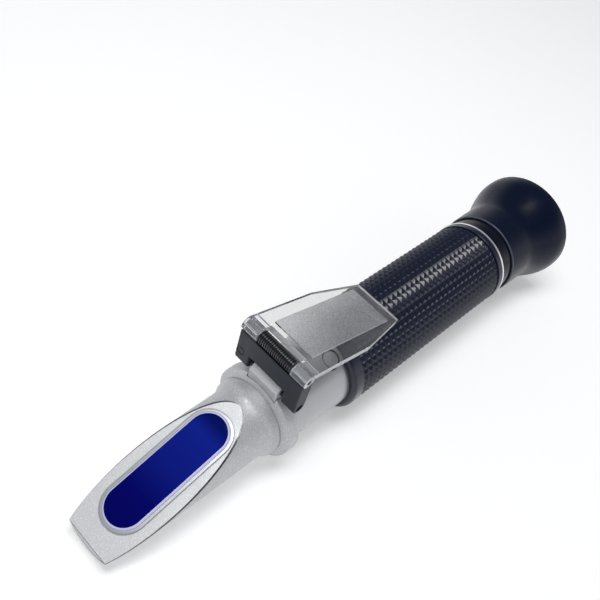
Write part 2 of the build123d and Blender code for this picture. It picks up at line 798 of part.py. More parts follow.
# Eyecup: a rubber bell on the focus ring, with a thin skirt over the neck
x_bell_middle = (eyecup_rim_land + eyecup_waist) / 2
bell_middle_radius = (eyecup_rim_radius + eyecup_waist_radius) / 2
rim_bore = eyecup_rim_radius - eyecup_rim_wall
with BuildPart() as eyecup:
    with BuildSketch(Plane.XZ):
        with BuildLine():
            Line((0, rim_bore), (0, eyecup_rim_radius))
            Line((0, eyecup_rim_radius), (eyecup_rim_land, eyecup_rim_radius))
            TangentArc(
                (eyecup_rim_land, eyecup_rim_radius),
                (x_bell_middle, bell_middle_radius),
                tangent=(1, 0),
            )
            TangentArc(
                (eyecup_waist, eyecup_waist_radius),
                (x_bell_middle, bell_middle_radius),
                tangent=(-1, 0),
            )
            Polyline(
                (eyecup_waist, eyecup_waist_radius),
                (x_cup_front - eyecup_front_round, eyecup_front_radius),
                (x_cup_front, eyecup_front_radius - eyecup_front_round),
                (x_cup_front, skirt_radius),
                (x_ring_front, skirt_radius),
                (x_ring_front, ring_radius),
                (x_ring_rear, ring_radius),
                (x_ring_rear, bell_aperture),
                (bell_depth, bell_aperture),
                (bell_depth, bell_floor_radius),
            )
            TangentArc((0, rim_bore), (bell_depth, bell_floor_radius), tangent=(1, 0))
        make_face()
    revolve(axis=Axis.X)
save(eyecup, "eyecup")
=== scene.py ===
import json
from math import acos, asin, atan, atan2, cos, degrees, hypot, pi, radians, sin, tan

import bmesh
import bpy
from mathutils import Matrix, Vector


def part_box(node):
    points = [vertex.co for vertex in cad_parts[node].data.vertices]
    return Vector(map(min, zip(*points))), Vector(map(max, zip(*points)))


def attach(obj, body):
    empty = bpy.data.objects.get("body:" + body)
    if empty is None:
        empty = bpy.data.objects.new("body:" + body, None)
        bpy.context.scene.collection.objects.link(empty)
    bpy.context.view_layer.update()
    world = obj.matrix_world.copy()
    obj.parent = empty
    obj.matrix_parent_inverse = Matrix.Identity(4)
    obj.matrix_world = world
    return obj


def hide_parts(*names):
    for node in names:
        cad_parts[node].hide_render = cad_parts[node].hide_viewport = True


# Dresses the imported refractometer. The frame is in metres, with its origin at the centre of the eyecup rim,
# +X along the optical axis to the nose, and +Z to the side of the prism and the daylight plate.
# Sizes are written in millimetres, as on a maker's drawing, and MM turns them into metres.
MM = 0.001

# How close points merge, the slack when faces are told apart by place, and a reach past the object's sides
MERGE_DISTANCE = 0.001
SLACK = 0.01
BEYOND = 30.0

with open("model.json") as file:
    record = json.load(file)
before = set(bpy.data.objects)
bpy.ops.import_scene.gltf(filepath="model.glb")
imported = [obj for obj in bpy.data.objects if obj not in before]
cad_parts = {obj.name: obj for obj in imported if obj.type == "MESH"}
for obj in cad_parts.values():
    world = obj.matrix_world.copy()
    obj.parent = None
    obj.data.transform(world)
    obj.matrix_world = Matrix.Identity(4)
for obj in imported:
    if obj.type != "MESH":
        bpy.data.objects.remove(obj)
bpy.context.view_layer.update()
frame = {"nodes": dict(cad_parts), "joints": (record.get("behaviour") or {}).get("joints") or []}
nodes = frame["nodes"]


def joint_place(name):
    """A joint's place in millimetres."""
    found = [joint for joint in frame["joints"] if joint["name"] == name]
    return Vector(found[0]["pos_m"]) / MM


def rear_of(node):
    """The lowest x of a node in millimetres."""
    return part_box(node)[0].x / MM


def front_of(node):
    """The highest x of a node in millimetres."""
    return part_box(node)[1].x / MM


# Stations along the optical axis, read from the frame
x_tip = front_of("prism_housing")
x_collar_rear = rear_of("prism_housing")
x_barrel_rear = rear_of("barrel")
x_barrel_front = front_of("barrel")
x_grip_rear = rear_of("grip_sleeve")
x_grip_front = front_of("grip_sleeve")
x_cup_front = front_of("eyecup")
link_pin = joint_place("link_hinge")
plate_pin = joint_place("plate_hinge")
port = joint_place("calibration_turn")

# Segments of a full turn
SEGMENTS = 120
FINE_SEGMENTS = 160
CUP_SEGMENTS = 192
SMALL_SEGMENTS = 64
PIN_SEGMENTS = 48

# Barrel, grip and rings
BARREL_RADIUS = 12.7
BARREL_WALL = 1.5
BARREL_EDGE = 0.2
RING_RADIUS = 15.1
RING_SHOWN = 0.95
RING_EDGE = 0.3
GRIP_RADIUS = 15.0
GRAIN_PITCH = 2.36
GRAIN_ROWS = 31
GRAIN_COLUMNS = 40
GRAIN_DEPTH = 0.6
GRAIN_FLAT = 0.2
GRAIN_FRONT_LAND = 4.48
GRIP_FRONT_ROUNDING = 1.6
GRIP_REAR_ROUNDING = 0.4
LAND_EDGE = 0.2

# Calibration port, with its sizes measured from the optical axis
PORT_TILT = radians(22)
PORT_RADIUS = 3.0
BUSH_FLOOR = 9.4
BUSH_SEAT = 11.2
BUSH_TOP = 12.4
BUSH_BORE = 1.1
BUSH_WELL_RADIUS = 2.6
BUSH_RADIUS = 2.98
BUSH_EDGE = 0.08
SCREW_END = 6.3
SCREW_RADIUS = 1.0
SCREW_HEAD_SEAT = 11.25
SCREW_HEAD_RADIUS = 2.45
SCREW_HEAD_TOP = 12.38
SCREW_CROWN = 12.42
SCREW_SLOT_TURN = radians(62)
SCREW_SLOT_FLOOR = 12.1
SCREW_SLOT_HALF_WIDTH = 0.22

# Nose
FACE_SLOPE = radians(20.2)
TIP_FACE_DROP = 7.12
NOSE_TIP_RADIUS = 10.77
NOSE_ROOT_RADIUS = 11.04
FLARE_START = 50.0
FLARE_LENGTH = 3.2
FLARE_RISE = 1.26
COLLAR_RADIUS = 14.8
COLLAR_LIP_RADIUS = 12.3
COLLAR_WIDTH = 4.0
COLLAR_SLOPE = 1.1
COLLAR_REST = 0.6
COLLAR_REAR_EDGE = 0.6
COLLAR_FRONT_EDGE = 0.3
LIP_GROOVE_WIDTH = 0.35
LIP_GROOVE_DEPTH = 0.2
LIGHT_BORE_RADIUS = 6.0
LIGHT_BORE_DEPTH = 10.0
FACE_EDGE = 0.34
FACE_EDGE_SHARE = 0.35
FACE_STEPS = 72
NOSE_SEGMENTS = 160
TIP_EDGE = 0.6
TIP_LEAN = 0.03
FACE_ALONG = Vector((cos(FACE_SLOPE), 0, -sin(FACE_SLOPE)))
FACE_OUT = Vector((sin(FACE_SLOPE), 0, cos(FACE_SLOPE)))
FACE_ORIGIN = Vector((x_tip, 0, -TIP_FACE_DROP))

# Prism and its frame
PRISM_CENTRE = 26.9
PRISM_LENGTH = 40.6
PRISM_WIDTH = 12.6
PRISM_PROUD = 1.0
PRISM_BEVEL = 0.55
PRISM_DEPTH = 2.5
SEAL_WIDTH = 1.1
SEAL_PROUD = 0.5
SEAL_GAP = 0.02
SEAL_EDGE = 0.3

# Hinge link
LINK_HALF_WIDTH = 12.2
LINK_HALF_THICKNESS = 2.2
LINK_SHOULDER = 11.2
LINK_LENGTH = plate_pin.z - link_pin.z
NOTCH_HALF_WIDTH = 7.0
NOTCH_RISE = 3.7
KNUCKLE_HALF_WIDTH = 6.5
KNUCKLE_RADIUS = 2.1
RIB_COUNT = 18
RIB_DEPTH = 0.3
LINK_EDGE = 0.4
EAR_CLEARANCE = 0.25
LINK_PIN_BORE = 1.25
PLATE_PIN_BORE = 0.92
MARK_OFFSET = 10.3
MARK_RISE = 3.2
MARK_RADIUS = 1.5
MARK_WIDTH = 0.4
MARK_DEPTH = 0.15

# Lug, measured from the link's pin
LUG_HALF_WIDTH = 5.6
LUG_REAR = 1.7
LUG_FRONT = 2.6
LUG_TOP = 2.25
LUG_SLOPE_FOOT = 0.6
LUG_SLOPE_LENGTH = 1.6
LUG_ROOT = 8.0
LUG_EDGE = 0.35
LUG_GAP = 0.2
LUG_GAP_DEPTH = 1.3
LUG_BORE = 1.2

# Daylight plate
EAR_RADIUS = 2.25
EAR_FACETS = 9
PLATE_THICKNESS = 2.0
PLATE_LENGTH = 48.0
PLATE_KNEE = 27.5
PLATE_HALF_WIDTH = 12.3
PLATE_KNEE_HALF_WIDTH = 12.06
PLATE_TIP_HALF_WIDTH = 8.47
PLATE_NOTCH = 3.3
PLATE_REST_GAP = 0.3
HINGE_SIDE_GAP = 0.35
PAD_START = 5.1
PAD_END = 43.0
PAD_HALF_WIDTH = 7.4
PAD_HEIGHT = 0.4
PLATE_EDGE = 0.35
PLATE_KNEE_ROUNDING = 1.5
PLATE_TIP_ROUNDING = 0.8
PLATE_ARRIS = 0.12
PLATE_BORE = 0.95
PLATE_TOOL_REACH = 5.0
PLATE_TOOL_FLOOR = -4.0
PLATE_TOOL_HALF_WIDTH = 15.0
PAD_ROOT = 0.5
SMALL_CORNER = 0.3
GROOVE_REAR = 0.25
GROOVE_WIDTH = 0.35
GROOVE_DEPTH = 0.45
underside = EAR_RADIUS - PLATE_THICKNESS
fold_drop = plate_pin.z - GRIP_RADIUS - PLATE_REST_GAP
FOLD = asin(fold_drop / hypot(PLATE_LENGTH, underside)) + atan(underside / PLATE_LENGTH)

# Eyepiece
NECK_RADIUS = 14.3
NECK_OVERLAP = 2.5
SPIGOT_BORE = 9.6
SPIGOT_RADIUS = 11.2
THREAD_RADIUS = 12.6
FOCUS_RING_RADIUS = 13.9
CUP_RIM_RADIUS = 19.75
CUP_WAIST = 19.0
CUP_WAIST_RADIUS = 15.3
CUP_FRONT_RADIUS = 15.1
CUP_SKIRT_RADIUS = 14.4
SKIRT_SET_BACK = 1.5
BELL_DEPTH = 13.0
BELL_FLOOR_RADIUS = 11.0
BELL_APERTURE = 8.6
RIM_LAND = 2.0
RIM_ROUNDING = 0.75
SKIRT_EDGE = 0.35
SKIRT_INNER_EDGE = 0.12


def plane_at(origin, x_axis, z_axis):
    """The matrix of a plane from its origin, x direction and normal, in millimetres."""
    x_axis = Vector(x_axis).normalized()
    z_axis = Vector(z_axis).normalized()
    turn = Matrix((x_axis, z_axis.cross(x_axis), z_axis)).transposed().to_4x4()
    return Matrix.Translation(Vector(origin)) @ turn


OPTICAL_AXIS = plane_at((0, 0, 0), (0, 0, 1), (1, 0, 0))
PORT_AXIS = plane_at(port, (1, 0, 0), (0, sin(PORT_TILT), cos(PORT_TILT)))
FACE_PLACE = plane_at(FACE_ORIGIN - PRISM_CENTRE * FACE_ALONG, FACE_ALONG, FACE_OUT)
PLATE_PLACE = plane_at(plate_pin, (-cos(FOLD), 0, -sin(FOLD)), (-sin(FOLD), 0, cos(FOLD)))


def across(middle, half_width):
    """A side-view plane with x forwards and y up, starting at +Y, for solids that run across the object."""
    return plane_at(middle + Vector((0, half_width, 0)), (1, 0, 0), (0, -1, 0))


def finished(maker, name):
    """Turns a bmesh into an object with its doubles merged and its normals outside."""
    bmesh.ops.remove_doubles(maker, verts=maker.verts, dist=MERGE_DISTANCE * MM)
    bmesh.ops.recalc_face_normals(maker, faces=maker.faces)
    mesh = bpy.data.meshes.new(name)
    maker.to_mesh(mesh)
    maker.free()
    piece = bpy.data.objects.new(name, mesh)
    bpy.context.scene.collection.objects.link(piece)
    return piece


def cleaned(maker, name):
    """Finishes a bmesh whose rings may have shrunk to points or to lines."""
    bmesh.ops.remove_doubles(maker, verts=maker.verts, dist=MERGE_DISTANCE * MM)
    bmesh.ops.dissolve_degenerate(maker, edges=maker.edges, dist=MERGE_DISTANCE / 2 * MM)
    return finished(maker, name)


def join_rings(maker, first, second):
    """Adds the faces between two rings of points."""
    for spot in range(len(first)):
        after = (spot + 1) % len(first)
        maker.faces.new((first[spot], first[after], second[after], second[spot]))


def smooth(piece, angle=32):
    """Shades a piece smoothly, apart from edges sharper than the angle in degrees."""
    piece.data.shade_smooth()
    piece.data.set_sharp_from_angle(angle=radians(angle))
    return piece


def applied(piece):
    """Applies a piece's modifiers to its mesh."""
    bpy.context.view_layer.update()
    graph = bpy.context.evaluated_depsgraph_get()
    mesh = bpy.data.meshes.new_from_object(piece.evaluated_get(graph), depsgraph=graph)
    piece.modifiers.clear()
    piece.data = mesh
    return piece


def combine(piece, tool, how="DIFFERENCE"):
    """Cuts a piece with a tool, joins them or keeps what they share, and takes the tool away."""
    change = piece.modifiers.new("combine", "BOOLEAN")
    change.operation = how
    change.solver = "EXACT"
    change.object = tool
    applied(piece)
    bpy.data.objects.remove(tool)
    return piece


def soften(piece, width, angle=30, steps=3):
    """Rounds the edges that are sharper than the angle in degrees."""
    change = piece.modifiers.new("soften", "BEVEL")
    change.width = width * MM
    change.segments = steps
    change.limit_method = "ANGLE"
    change.angle_limit = radians(angle)
    return applied(piece)


def rounded(corners, steps=5):
    """An outline from (x, y) corners and (x, y, radius) corners, the latter rounded."""
    points = []
    count = len(corners)
    for index, corner in enumerate(corners):
        here = Vector(corner[:2])
        if len(corner) == 2:
            points.append(tuple(here))
            continue
        radius = corner[2]
        back = (Vector(corners[index - 1][:2]) - here).normalized()
        ahead = (Vector(corners[(index + 1) % count][:2]) - here).normalized()
        half = back.angle(ahead) / 2
        middle = here + (back + ahead).normalized() * radius / sin(half)
        first = here + back * radius / tan(half) - middle
        last = here + ahead * radius / tan(half) - middle
        start = atan2(first.y, first.x)
        sweep = (atan2(last.y, last.x) - start + pi) % (2 * pi) - pi
        for step in range(steps + 1):
            angle = start + sweep * step / steps
            points.append((middle.x + radius * cos(angle), middle.y + radius * sin(angle)))
    return points


def arc(centre, radius, start, end, steps):
    """Points on an arc, with its angles in degrees."""
    angles = [radians(start + (end - start) * step / steps) for step in range(steps + 1)]
    return [(centre[0] + radius * cos(angle), centre[1] + radius * sin(angle)) for angle in angles]


def turned(name, outline, place=OPTICAL_AXIS, segments=SEGMENTS):
    """Turns a closed outline of (along, radius) points round the z axis of a place."""
    maker = bmesh.new()
    rings = []
    for step in range(segments):
        angle = 2 * pi * (step + 0.5) / segments
        spots = [Vector((radius * cos(angle), radius * sin(angle), along)) for along, radius in outline]
        rings.append([maker.verts.new((place @ spot) * MM) for spot in spots])
    for step, ring in enumerate(rings):
        following = rings[(step + 1) % segments]
        for spot in range(len(outline)):
            after = (spot + 1) % len(outline)
            if outline[spot][1] > 0 or outline[after][1] > 0:
                maker.faces.new((ring[spot], ring[after], following[after], following[spot]))
    return smooth(cleaned(maker, name))


def rod(name, place, radius, start, end, segments=PIN_SEGMENTS):
    """A plain cylinder along the z axis of a place."""
    return turned(name, [(start, 0), (start, radius), (end, radius), (end, 0)], place, segments)


def bore(piece, middle, radius, segments=PIN_SEGMENTS):
    """Drills a hole right across the object, through a middle."""
    return combine(piece, rod("bore", across(middle, BEYOND), radius, 0, 2 * BEYOND, segments))


def extruded(name, outline, place, depth):
    """A solid from an outline on a plane, as deep as given along the plane's z."""
    maker = bmesh.new()
    floor = [maker.verts.new((place @ Vector((x, y, 0))) * MM) for x, y in outline]
    roof = [maker.verts.new((place @ Vector((x, y, depth))) * MM) for x, y in outline]
    maker.faces.new(floor)
    maker.faces.new(roof)
    for index in range(len(outline)):
        after = (index + 1) % len(outline)
        maker.faces.new((floor[index], floor[after], roof[after], roof[index]))
    return finished(maker, name)


def block(name, low, high):
    """A box between two corners."""
    outline = [(low[0], low[1]), (high[0], low[1]), (high[0], high[1]), (low[0], high[1])]
    return extruded(name, outline, Matrix.Translation((0, 0, low[2])), high[2] - low[2])


def slot(length, width, steps=28):
    """A round-ended outline, centred, with its length along x."""
    reach = (length - width) / 2
    right = arc((reach, 0), width / 2, -90, 90, steps)
    left = arc((-reach, 0), width / 2, 90, 270, steps)
    return right + left


def slot_layers(name, layers, place, closed):
    """A solid from slots of (widening, height) laid on each other: a ring if closed, or else filled."""
    maker = bmesh.new()
    rings = []
    for widening, height in layers:
        outline = slot(PRISM_LENGTH + 2 * widening, PRISM_WIDTH + 2 * widening)
        rings.append([maker.verts.new((place @ Vector((x, y, height))) * MM) for x, y in outline])
    pairs = list(zip(rings, rings[1:]))
    if closed:
        pairs.append((rings[-1], rings[0]))
    else:
        maker.faces.new(rings[0])
        maker.faces.new(rings[-1])
    for lower, upper in pairs:
        join_rings(maker, lower, upper)
    return smooth(finished(maker, name))


# Node groups and materials

def add_node(tree, kind, inputs=None, **settings):
    """Adds a shader node, sets its properties, and sets or links its inputs."""
    made = tree.nodes.new(kind)
    for name, value in settings.items():
        setattr(made, name, value)
    for name, value in (inputs or {}).items():
        if isinstance(value, bpy.types.NodeSocket):
            tree.links.new(value, made.inputs[name])
        else:
            made.inputs[name].default_value = value
    return made


def new_group(name, inputs, outputs):
    """An empty node group with float inputs and outputs, its input node and its output node."""
    tree = bpy.data.node_groups.new(name, "ShaderNodeTree")
    for label in inputs:
        tree.interface.new_socket(name=label, in_out="INPUT", socket_type="NodeSocketFloat")
    for label in outputs:
        tree.interface.new_socket(name=label, in_out="OUTPUT", socket_type="NodeSocketFloat")
    return tree, tree.nodes.new("NodeGroupInput"), tree.nodes.new("NodeGroupOutput")


def make_grain_group():
    """Fine grain: a soft height, sparse bright flecks and a speckle, all at one scale in cells per metre."""
    tree, given, out = new_group("surface_grain", ["Scale"], ["Height", "Fleck", "Speckle"])
    spot = add_node(tree, "ShaderNodeTexCoord").outputs["Object"]
    scale = given.outputs["Scale"]
    noise = add_node(
        tree, "ShaderNodeTexNoise", {"Vector": spot, "Scale": scale, "Detail": 4.0, "Roughness": 0.62}
    )
    cells = add_node(tree, "ShaderNodeTexVoronoi", {"Vector": spot, "Scale": scale})
    parts = add_node(tree, "ShaderNodeSeparateColor", {"Color": cells.outputs["Color"]})
    fleck = add_node(
        tree, "ShaderNodeMapRange", {"Value": parts.outputs["Red"], "From Min": 0.78, "From Max": 1.0}
    )
    speckle = add_node(
        tree, "ShaderNodeMapRange", {"Value": noise.outputs["Fac"], "From Min": 0.44, "From Max": 0.56}
    )
    tree.links.new(noise.outputs["Fac"], out.inputs["Height"])
    tree.links.new(fleck.outputs["Result"], out.inputs["Fleck"])
    tree.links.new(speckle.outputs["Result"], out.inputs["Speckle"])
    return tree


def make_turning_group():
    """The fine lines that a lathe leaves, side by side along the optical axis."""
    tree, given, out = new_group("turning_lines", ["Scale"], ["Height"])
    spot = add_node(tree, "ShaderNodeTexCoord").outputs["Object"]
    parts = add_node(tree, "ShaderNodeSeparateXYZ", {"Vector": spot})
    lines = add_node(
        tree,
        "ShaderNodeTexNoise",
        {"W": parts.outputs["X"], "Scale": given.outputs["Scale"], "Detail": 2.0},
        noise_dimensions="1D",
    )
    tree.links.new(lines.outputs["Fac"], out.inputs["Height"])
    return tree


def make_uneven_group():
    """A value that drifts slowly over the surface between a low and a high limit."""
    tree, given, out = new_group("uneven", ["Scale", "Low", "High"], ["Value"])
    spot = add_node(tree, "ShaderNodeTexCoord").outputs["Object"]
    scale = given.outputs["Scale"]
    noise = add_node(
        tree, "ShaderNodeTexNoise", {"Vector": spot, "Scale": scale, "Detail": 3.0, "Roughness": 0.55}
    )
    drift = add_node(
        tree,
        "ShaderNodeMapRange",
        {
            "Value": noise.outputs["Fac"],
            "From Min": 0.3,
            "From Max": 0.7,
            "To Min": given.outputs["Low"],
            "To Max": given.outputs["High"],
        },
    )
    tree.links.new(drift.outputs["Result"], out.inputs["Value"])
    return tree


grain_group = make_grain_group()
turning_group = make_turning_group()
uneven_group = make_uneven_group()


def use_group(tree, group, **inputs):
    """Places a node group in a material with its own values."""
    made = tree.nodes.new("ShaderNodeGroup")
    made.node_tree = group
    for name, value in inputs.items():
        made.inputs[name].default_value = value
    return made


def new_material(name, **plain):
    """A material whose Principled shader has these constant values; returns it, its tree and its shader."""
    material = bpy.data.materials.new(name)
    material.use_nodes = True
    shader = material.node_tree.nodes["Principled BSDF"]
    for label, value in plain.items():
        shader.inputs[label.replace("_", " ")].default_value = value
    return material, material.node_tree, shader


def set_bump(tree, shader, height, strength, distance):
    """Feeds a height into the shader's normal; the distance is in millimetres."""
    values = {"Height": height, "Strength": strength, "Distance": distance * MM}
    bump = add_node(tree, "ShaderNodeBump", values)
    tree.links.new(bump.outputs["Normal"], shader.inputs["Normal"])


def mix_colours(tree, factor, first, second):
    """A colour between two others by a factor; each of them is a plain colour or a socket."""
    mix = tree.nodes.new("ShaderNodeMix")
    mix.data_type = "RGBA"
    tree.links.new(factor, mix.inputs["Factor"])
    for label, colour in (("A", first), ("B", second)):
        if isinstance(colour, bpy.types.NodeSocket):
            tree.links.new(colour, mix.inputs[label])
        else:
            mix.inputs[label].default_value = (*colour, 1)
    return mix.outputs["Result"]


def grained(
    name, dark, light, rough, scale, bump, depth,
    fleck=None, texture_group=grain_group, drift=160.0, **plain
):
    """A material with a texture in its colour and bump, and a roughness that drifts between two limits."""
    material, tree, shader = new_material(name, **plain)
    texture = use_group(tree, texture_group, Scale=scale)
    roughness = use_group(tree, uneven_group, Scale=drift, Low=rough[0], High=rough[1])
    colour = mix_colours(tree, texture.outputs["Height"], dark, light)
    if fleck:
        colour = mix_colours(tree, texture.outputs["Fleck"], colour, fleck)
    tree.links.new(colour, shader.inputs["Base Color"])
    tree.links.new(roughness.outputs["Value"], shader.inputs["Roughness"])
    set_bump(tree, shader, texture.outputs["Height"], bump, depth)
    return material


def flecked(name, dark, light, fleck, *given, **plain):
    """A grained metal with bright flecks, as sand-cast and ground alloy has."""
    return grained(name, dark, light, *given, fleck=fleck, drift=120.0, **plain)


def lined(*given, **plain):
    """A turned metal with lathe lines in its colour and bump."""
    return grained(*given, texture_group=turning_group, drift=140.0, **plain)


def make_blue_glass():
    """The prism's window: deep blue at the tip, brighter towards the hinge, and navy at its end; this change
    along the window is painted light and shade, standing in for the depth of the glass.
    """
    material, tree, shader = new_material("blue_glass", IOR=1.62, Specular_IOR_Level=0.1)
    spot = add_node(tree, "ShaderNodeTexCoord").outputs["Object"]
    parts = add_node(tree, "ShaderNodeSeparateXYZ", {"Vector": spot})
    rear = (x_tip - PRISM_CENTRE - PRISM_LENGTH / 2 + 2) * MM
    front = (x_tip - PRISM_CENTRE + PRISM_LENGTH / 2) * MM
    along = add_node(
        tree, "ShaderNodeMapRange", {"Value": parts.outputs["X"], "From Min": rear, "From Max": front}
    )
    # Painted light and shade: the ramp makes the window brighter towards the hinge and darker at both ends.
    ramp = add_node(tree, "ShaderNodeValToRGB", {"Fac": along.outputs["Result"]})
    stops = ramp.color_ramp.elements
    stops[0].color = (0.000, 0.003, 0.085, 1)
    stops[1].color = (0.000, 0.000, 0.115, 1)
    for place, colour in (
        (0.10, (0.000, 0.004, 0.120, 1)),
        (0.20, (0.004, 0.014, 0.255, 1)),
        (0.50, (0.003, 0.010, 0.215, 1)),
        (0.75, (0.000, 0.001, 0.130, 1)),
    ):
        stops.new(place).color = colour
    tree.links.new(ramp.outputs["Color"], shader.inputs["Base Color"])
    drift = use_group(tree, uneven_group, Scale=90.0, Low=0.03, High=0.07)
    tree.links.new(drift.outputs["Value"], shader.inputs["Roughness"])
    return material


LAMP_SHARE = 0.94


def pass_light(tree, shader, tint):
    """Lets lamplight through a clear material, so that what lies under it isn't in its shadow."""
    open_way = add_node(tree, "ShaderNodeBsdfTransparent", {"Color": (*tint, 1)})
    path = add_node(tree, "ShaderNodeLightPath")
    mix = add_node(tree, "ShaderNodeMixShader", {0: path.outputs["Is Shadow Ray"]})
    tree.links.new(shader.outputs["BSDF"], mix.inputs[1])
    tree.links.new(open_way.outputs["BSDF"], mix.inputs[2])
    tree.links.new(mix.outputs["Shader"], tree.nodes["Material Output"].inputs["Surface"])


def clear_plastic(
    name, rough, tint, clearness=1.0, grain=2600.0, bump=0.0, depth=0.06, darker=0.97, **plain
):
    """Clear acrylic or glass, polished or frosted; its speckles are darker by a factor."""
    material, tree, shader = new_material(name, IOR=1.4, Transmission_Weight=clearness, **plain)
    texture = use_group(tree, grain_group, Scale=grain)
    colour = mix_colours(tree, texture.outputs["Speckle"], tuple(darker * part for part in tint), tint)
    tree.links.new(colour, shader.inputs["Base Color"])
    drift = use_group(tree, uneven_group, Scale=150.0, Low=rough[0], High=rough[1])
    tree.links.new(drift.outputs["Value"], shader.inputs["Roughness"])
    if bump:
        set_bump(tree, shader, texture.outputs["Height"], bump, depth)
    pass_light(tree, shader, tuple(LAMP_SHARE * part for part in tint))
    return material


cast_silver = flecked(
    "cast_silver", (0.48, 0.49, 0.50), (0.61, 0.62, 0.63), (0.75, 0.76, 0.77), (0.60, 0.68),
    5200.0, 0.3, 0.02, Metallic=0.85,
)
# Painted shade: a dark metal for the narrow bevels round the slanted face and the tip, standing in for the
# dark lines that shade and dark reflections draw along these edges.
painted_shade_edge = flecked(
    "painted_shade_edge", (0.08, 0.085, 0.09), (0.14, 0.145, 0.15), (0.22, 0.22, 0.23), (0.30, 0.38),
    5200.0, 0.2, 0.01, Metallic=0.8,
)
face_silver = flecked(
    "face_silver", (0.52, 0.53, 0.53), (0.74, 0.75, 0.75), (0.84, 0.85, 0.85), (0.44, 0.54),
    5200.0, 0.5, 0.025, Metallic=0.4,
)
barrel_silver = lined(
    "barrel_silver", (0.37, 0.38, 0.39), (0.46, 0.47, 0.48), (0.30, 0.36), 9000.0, 0.25, 0.01, Metallic=0.9
)
bright_metal = lined(
    "bright_metal", (0.86, 0.87, 0.88), (0.92, 0.93, 0.94), (0.26, 0.34), 12000.0, 0.1, 0.005, Metallic=1.0
)
pin_steel = lined(
    "pin_steel", (0.55, 0.56, 0.58), (0.66, 0.67, 0.69), (0.22, 0.30), 8000.0, 0.2, 0.01, Metallic=1.0
)
screw_steel = grained(
    "screw_steel", (0.58, 0.59, 0.60), (0.68, 0.69, 0.70), (0.28, 0.36), 4000.0, 0.2, 0.01, Metallic=1.0
)
turned_brass = lined(
    "turned_brass", (0.62, 0.46, 0.20), (0.72, 0.55, 0.27), (0.24, 0.34), 8000.0, 0.2, 0.01, Metallic=1.0
)
strip_metal = grained(
    "strip_metal", (0.60, 0.50, 0.34), (0.70, 0.60, 0.42), (0.30, 0.40), 3000.0, 0.2, 0.01, Metallic=1.0
)
black_anodised = grained(
    "black_anodised", (0.012, 0.012, 0.013), (0.022, 0.022, 0.024), (0.38, 0.50),
    5000.0, 0.3, 0.01, Metallic=0.4,
)
seal_grey = grained(
    "seal_grey", (0.42, 0.43, 0.46), (0.52, 0.53, 0.56), (0.34, 0.44), 4200.0, 0.3, 0.02, Metallic=0.6
)
ground_glass = grained(
    "ground_glass", (0.36, 0.37, 0.44), (0.48, 0.49, 0.56), (0.40, 0.50), 3600.0, 0.3, 0.02, IOR=1.5
)
bevel_glass = grained(
    "bevel_glass", (0.62, 0.63, 0.88), (0.74, 0.75, 0.96), (0.10, 0.18), 3000.0, 0.1, 0.01, IOR=1.6
)
link_plastic = grained(
    "link_plastic", (0.019, 0.023, 0.032), (0.030, 0.035, 0.046), (0.48, 0.58), 5200.0, 0.45, 0.02, IOR=1.5,
    Specular_IOR_Level=0.3,
)
knuckle_plastic = grained(
    "knuckle_plastic", (0.006, 0.006, 0.009), (0.012, 0.012, 0.016), (0.18, 0.26), 4200.0, 0.2, 0.01, IOR=1.6
)
grip_rubber = grained(
    "grip_rubber", (0.003, 0.005, 0.017), (0.008, 0.012, 0.032), (0.17, 0.25), 6000.0, 0.15, 0.008, IOR=1.5
)
neck_plastic = grained(
    "neck_plastic", (0.002, 0.003, 0.009), (0.005, 0.007, 0.016), (0.14, 0.20), 3000.0, 0.1, 0.01, IOR=1.5,
    Specular_IOR_Level=0.2,
)
# Painted highlight: a lighter rubber for the skirt's rounded front edge, standing in for the light that this
# edge catches.
painted_highlight_rubber = grained(
    "painted_highlight_rubber", (0.045, 0.055, 0.075), (0.075, 0.090, 0.115), (0.30, 0.40), 4200.0, 0.2, 0.01, IOR=1.5
)
cup_rubber = grained(
    "cup_rubber", (0.001, 0.003, 0.014), (0.004, 0.009, 0.026), (0.22, 0.30), 5200.0, 0.2, 0.008, IOR=1.5,
    Specular_IOR_Level=0.15,
)
blue_glass = make_blue_glass()
clear_acrylic = clear_plastic("clear_acrylic", (0.0, 0.01), (0.82, 0.82, 0.81))
sawn_acrylic = clear_plastic("sawn_acrylic", (0.30, 0.40), (0.95, 0.96, 0.98), clearness=0.45, bump=0.4)
frosted_acrylic = clear_plastic(
    "frosted_acrylic", (0.30, 0.42), (0.88, 0.89, 0.91), clearness=0.9,
    grain=1900.0, bump=1.0, depth=0.5, darker=0.66, Specular_IOR_Level=0.25,
)
ear_acrylic = clear_plastic("ear_acrylic", (0.02, 0.05), (0.75, 0.76, 0.79), clearness=0.9)
lens_glass = clear_plastic("lens_glass", (0.0, 0.02), (0.97, 0.99, 0.98))


def dress(piece, body, materials, replaced=(), rule=None):
    """Gives a piece its materials, its body and the CAD nodes that it stands for."""
    even = piece.modifiers.new("even_faces", "WEIGHTED_NORMAL")
    even.keep_sharp = True
    even.weight = 100
    applied(piece)
    for material in materials:
        piece.data.materials.append(material)
    if rule:
        for face in piece.data.polygons:
            face.material_index = rule(face.center / MM, face.normal)
    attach(piece, body)
    if replaced:
        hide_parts(*replaced)
    return piece


# Nose casting: cone, flare, collar and lug, with the slanted face and the pocket for the prism

def face_height(x):
    """The height of the slanted face over the optical axis."""
    return (x_tip - x) * tan(FACE_SLOPE) - TIP_FACE_DROP


def cone_radius(x):
    """The radius of the nose's slightly tapered part."""
    return NOSE_TIP_RADIUS + (NOSE_ROOT_RADIUS - NOSE_TIP_RADIUS) * (x_tip - x) / FLARE_START


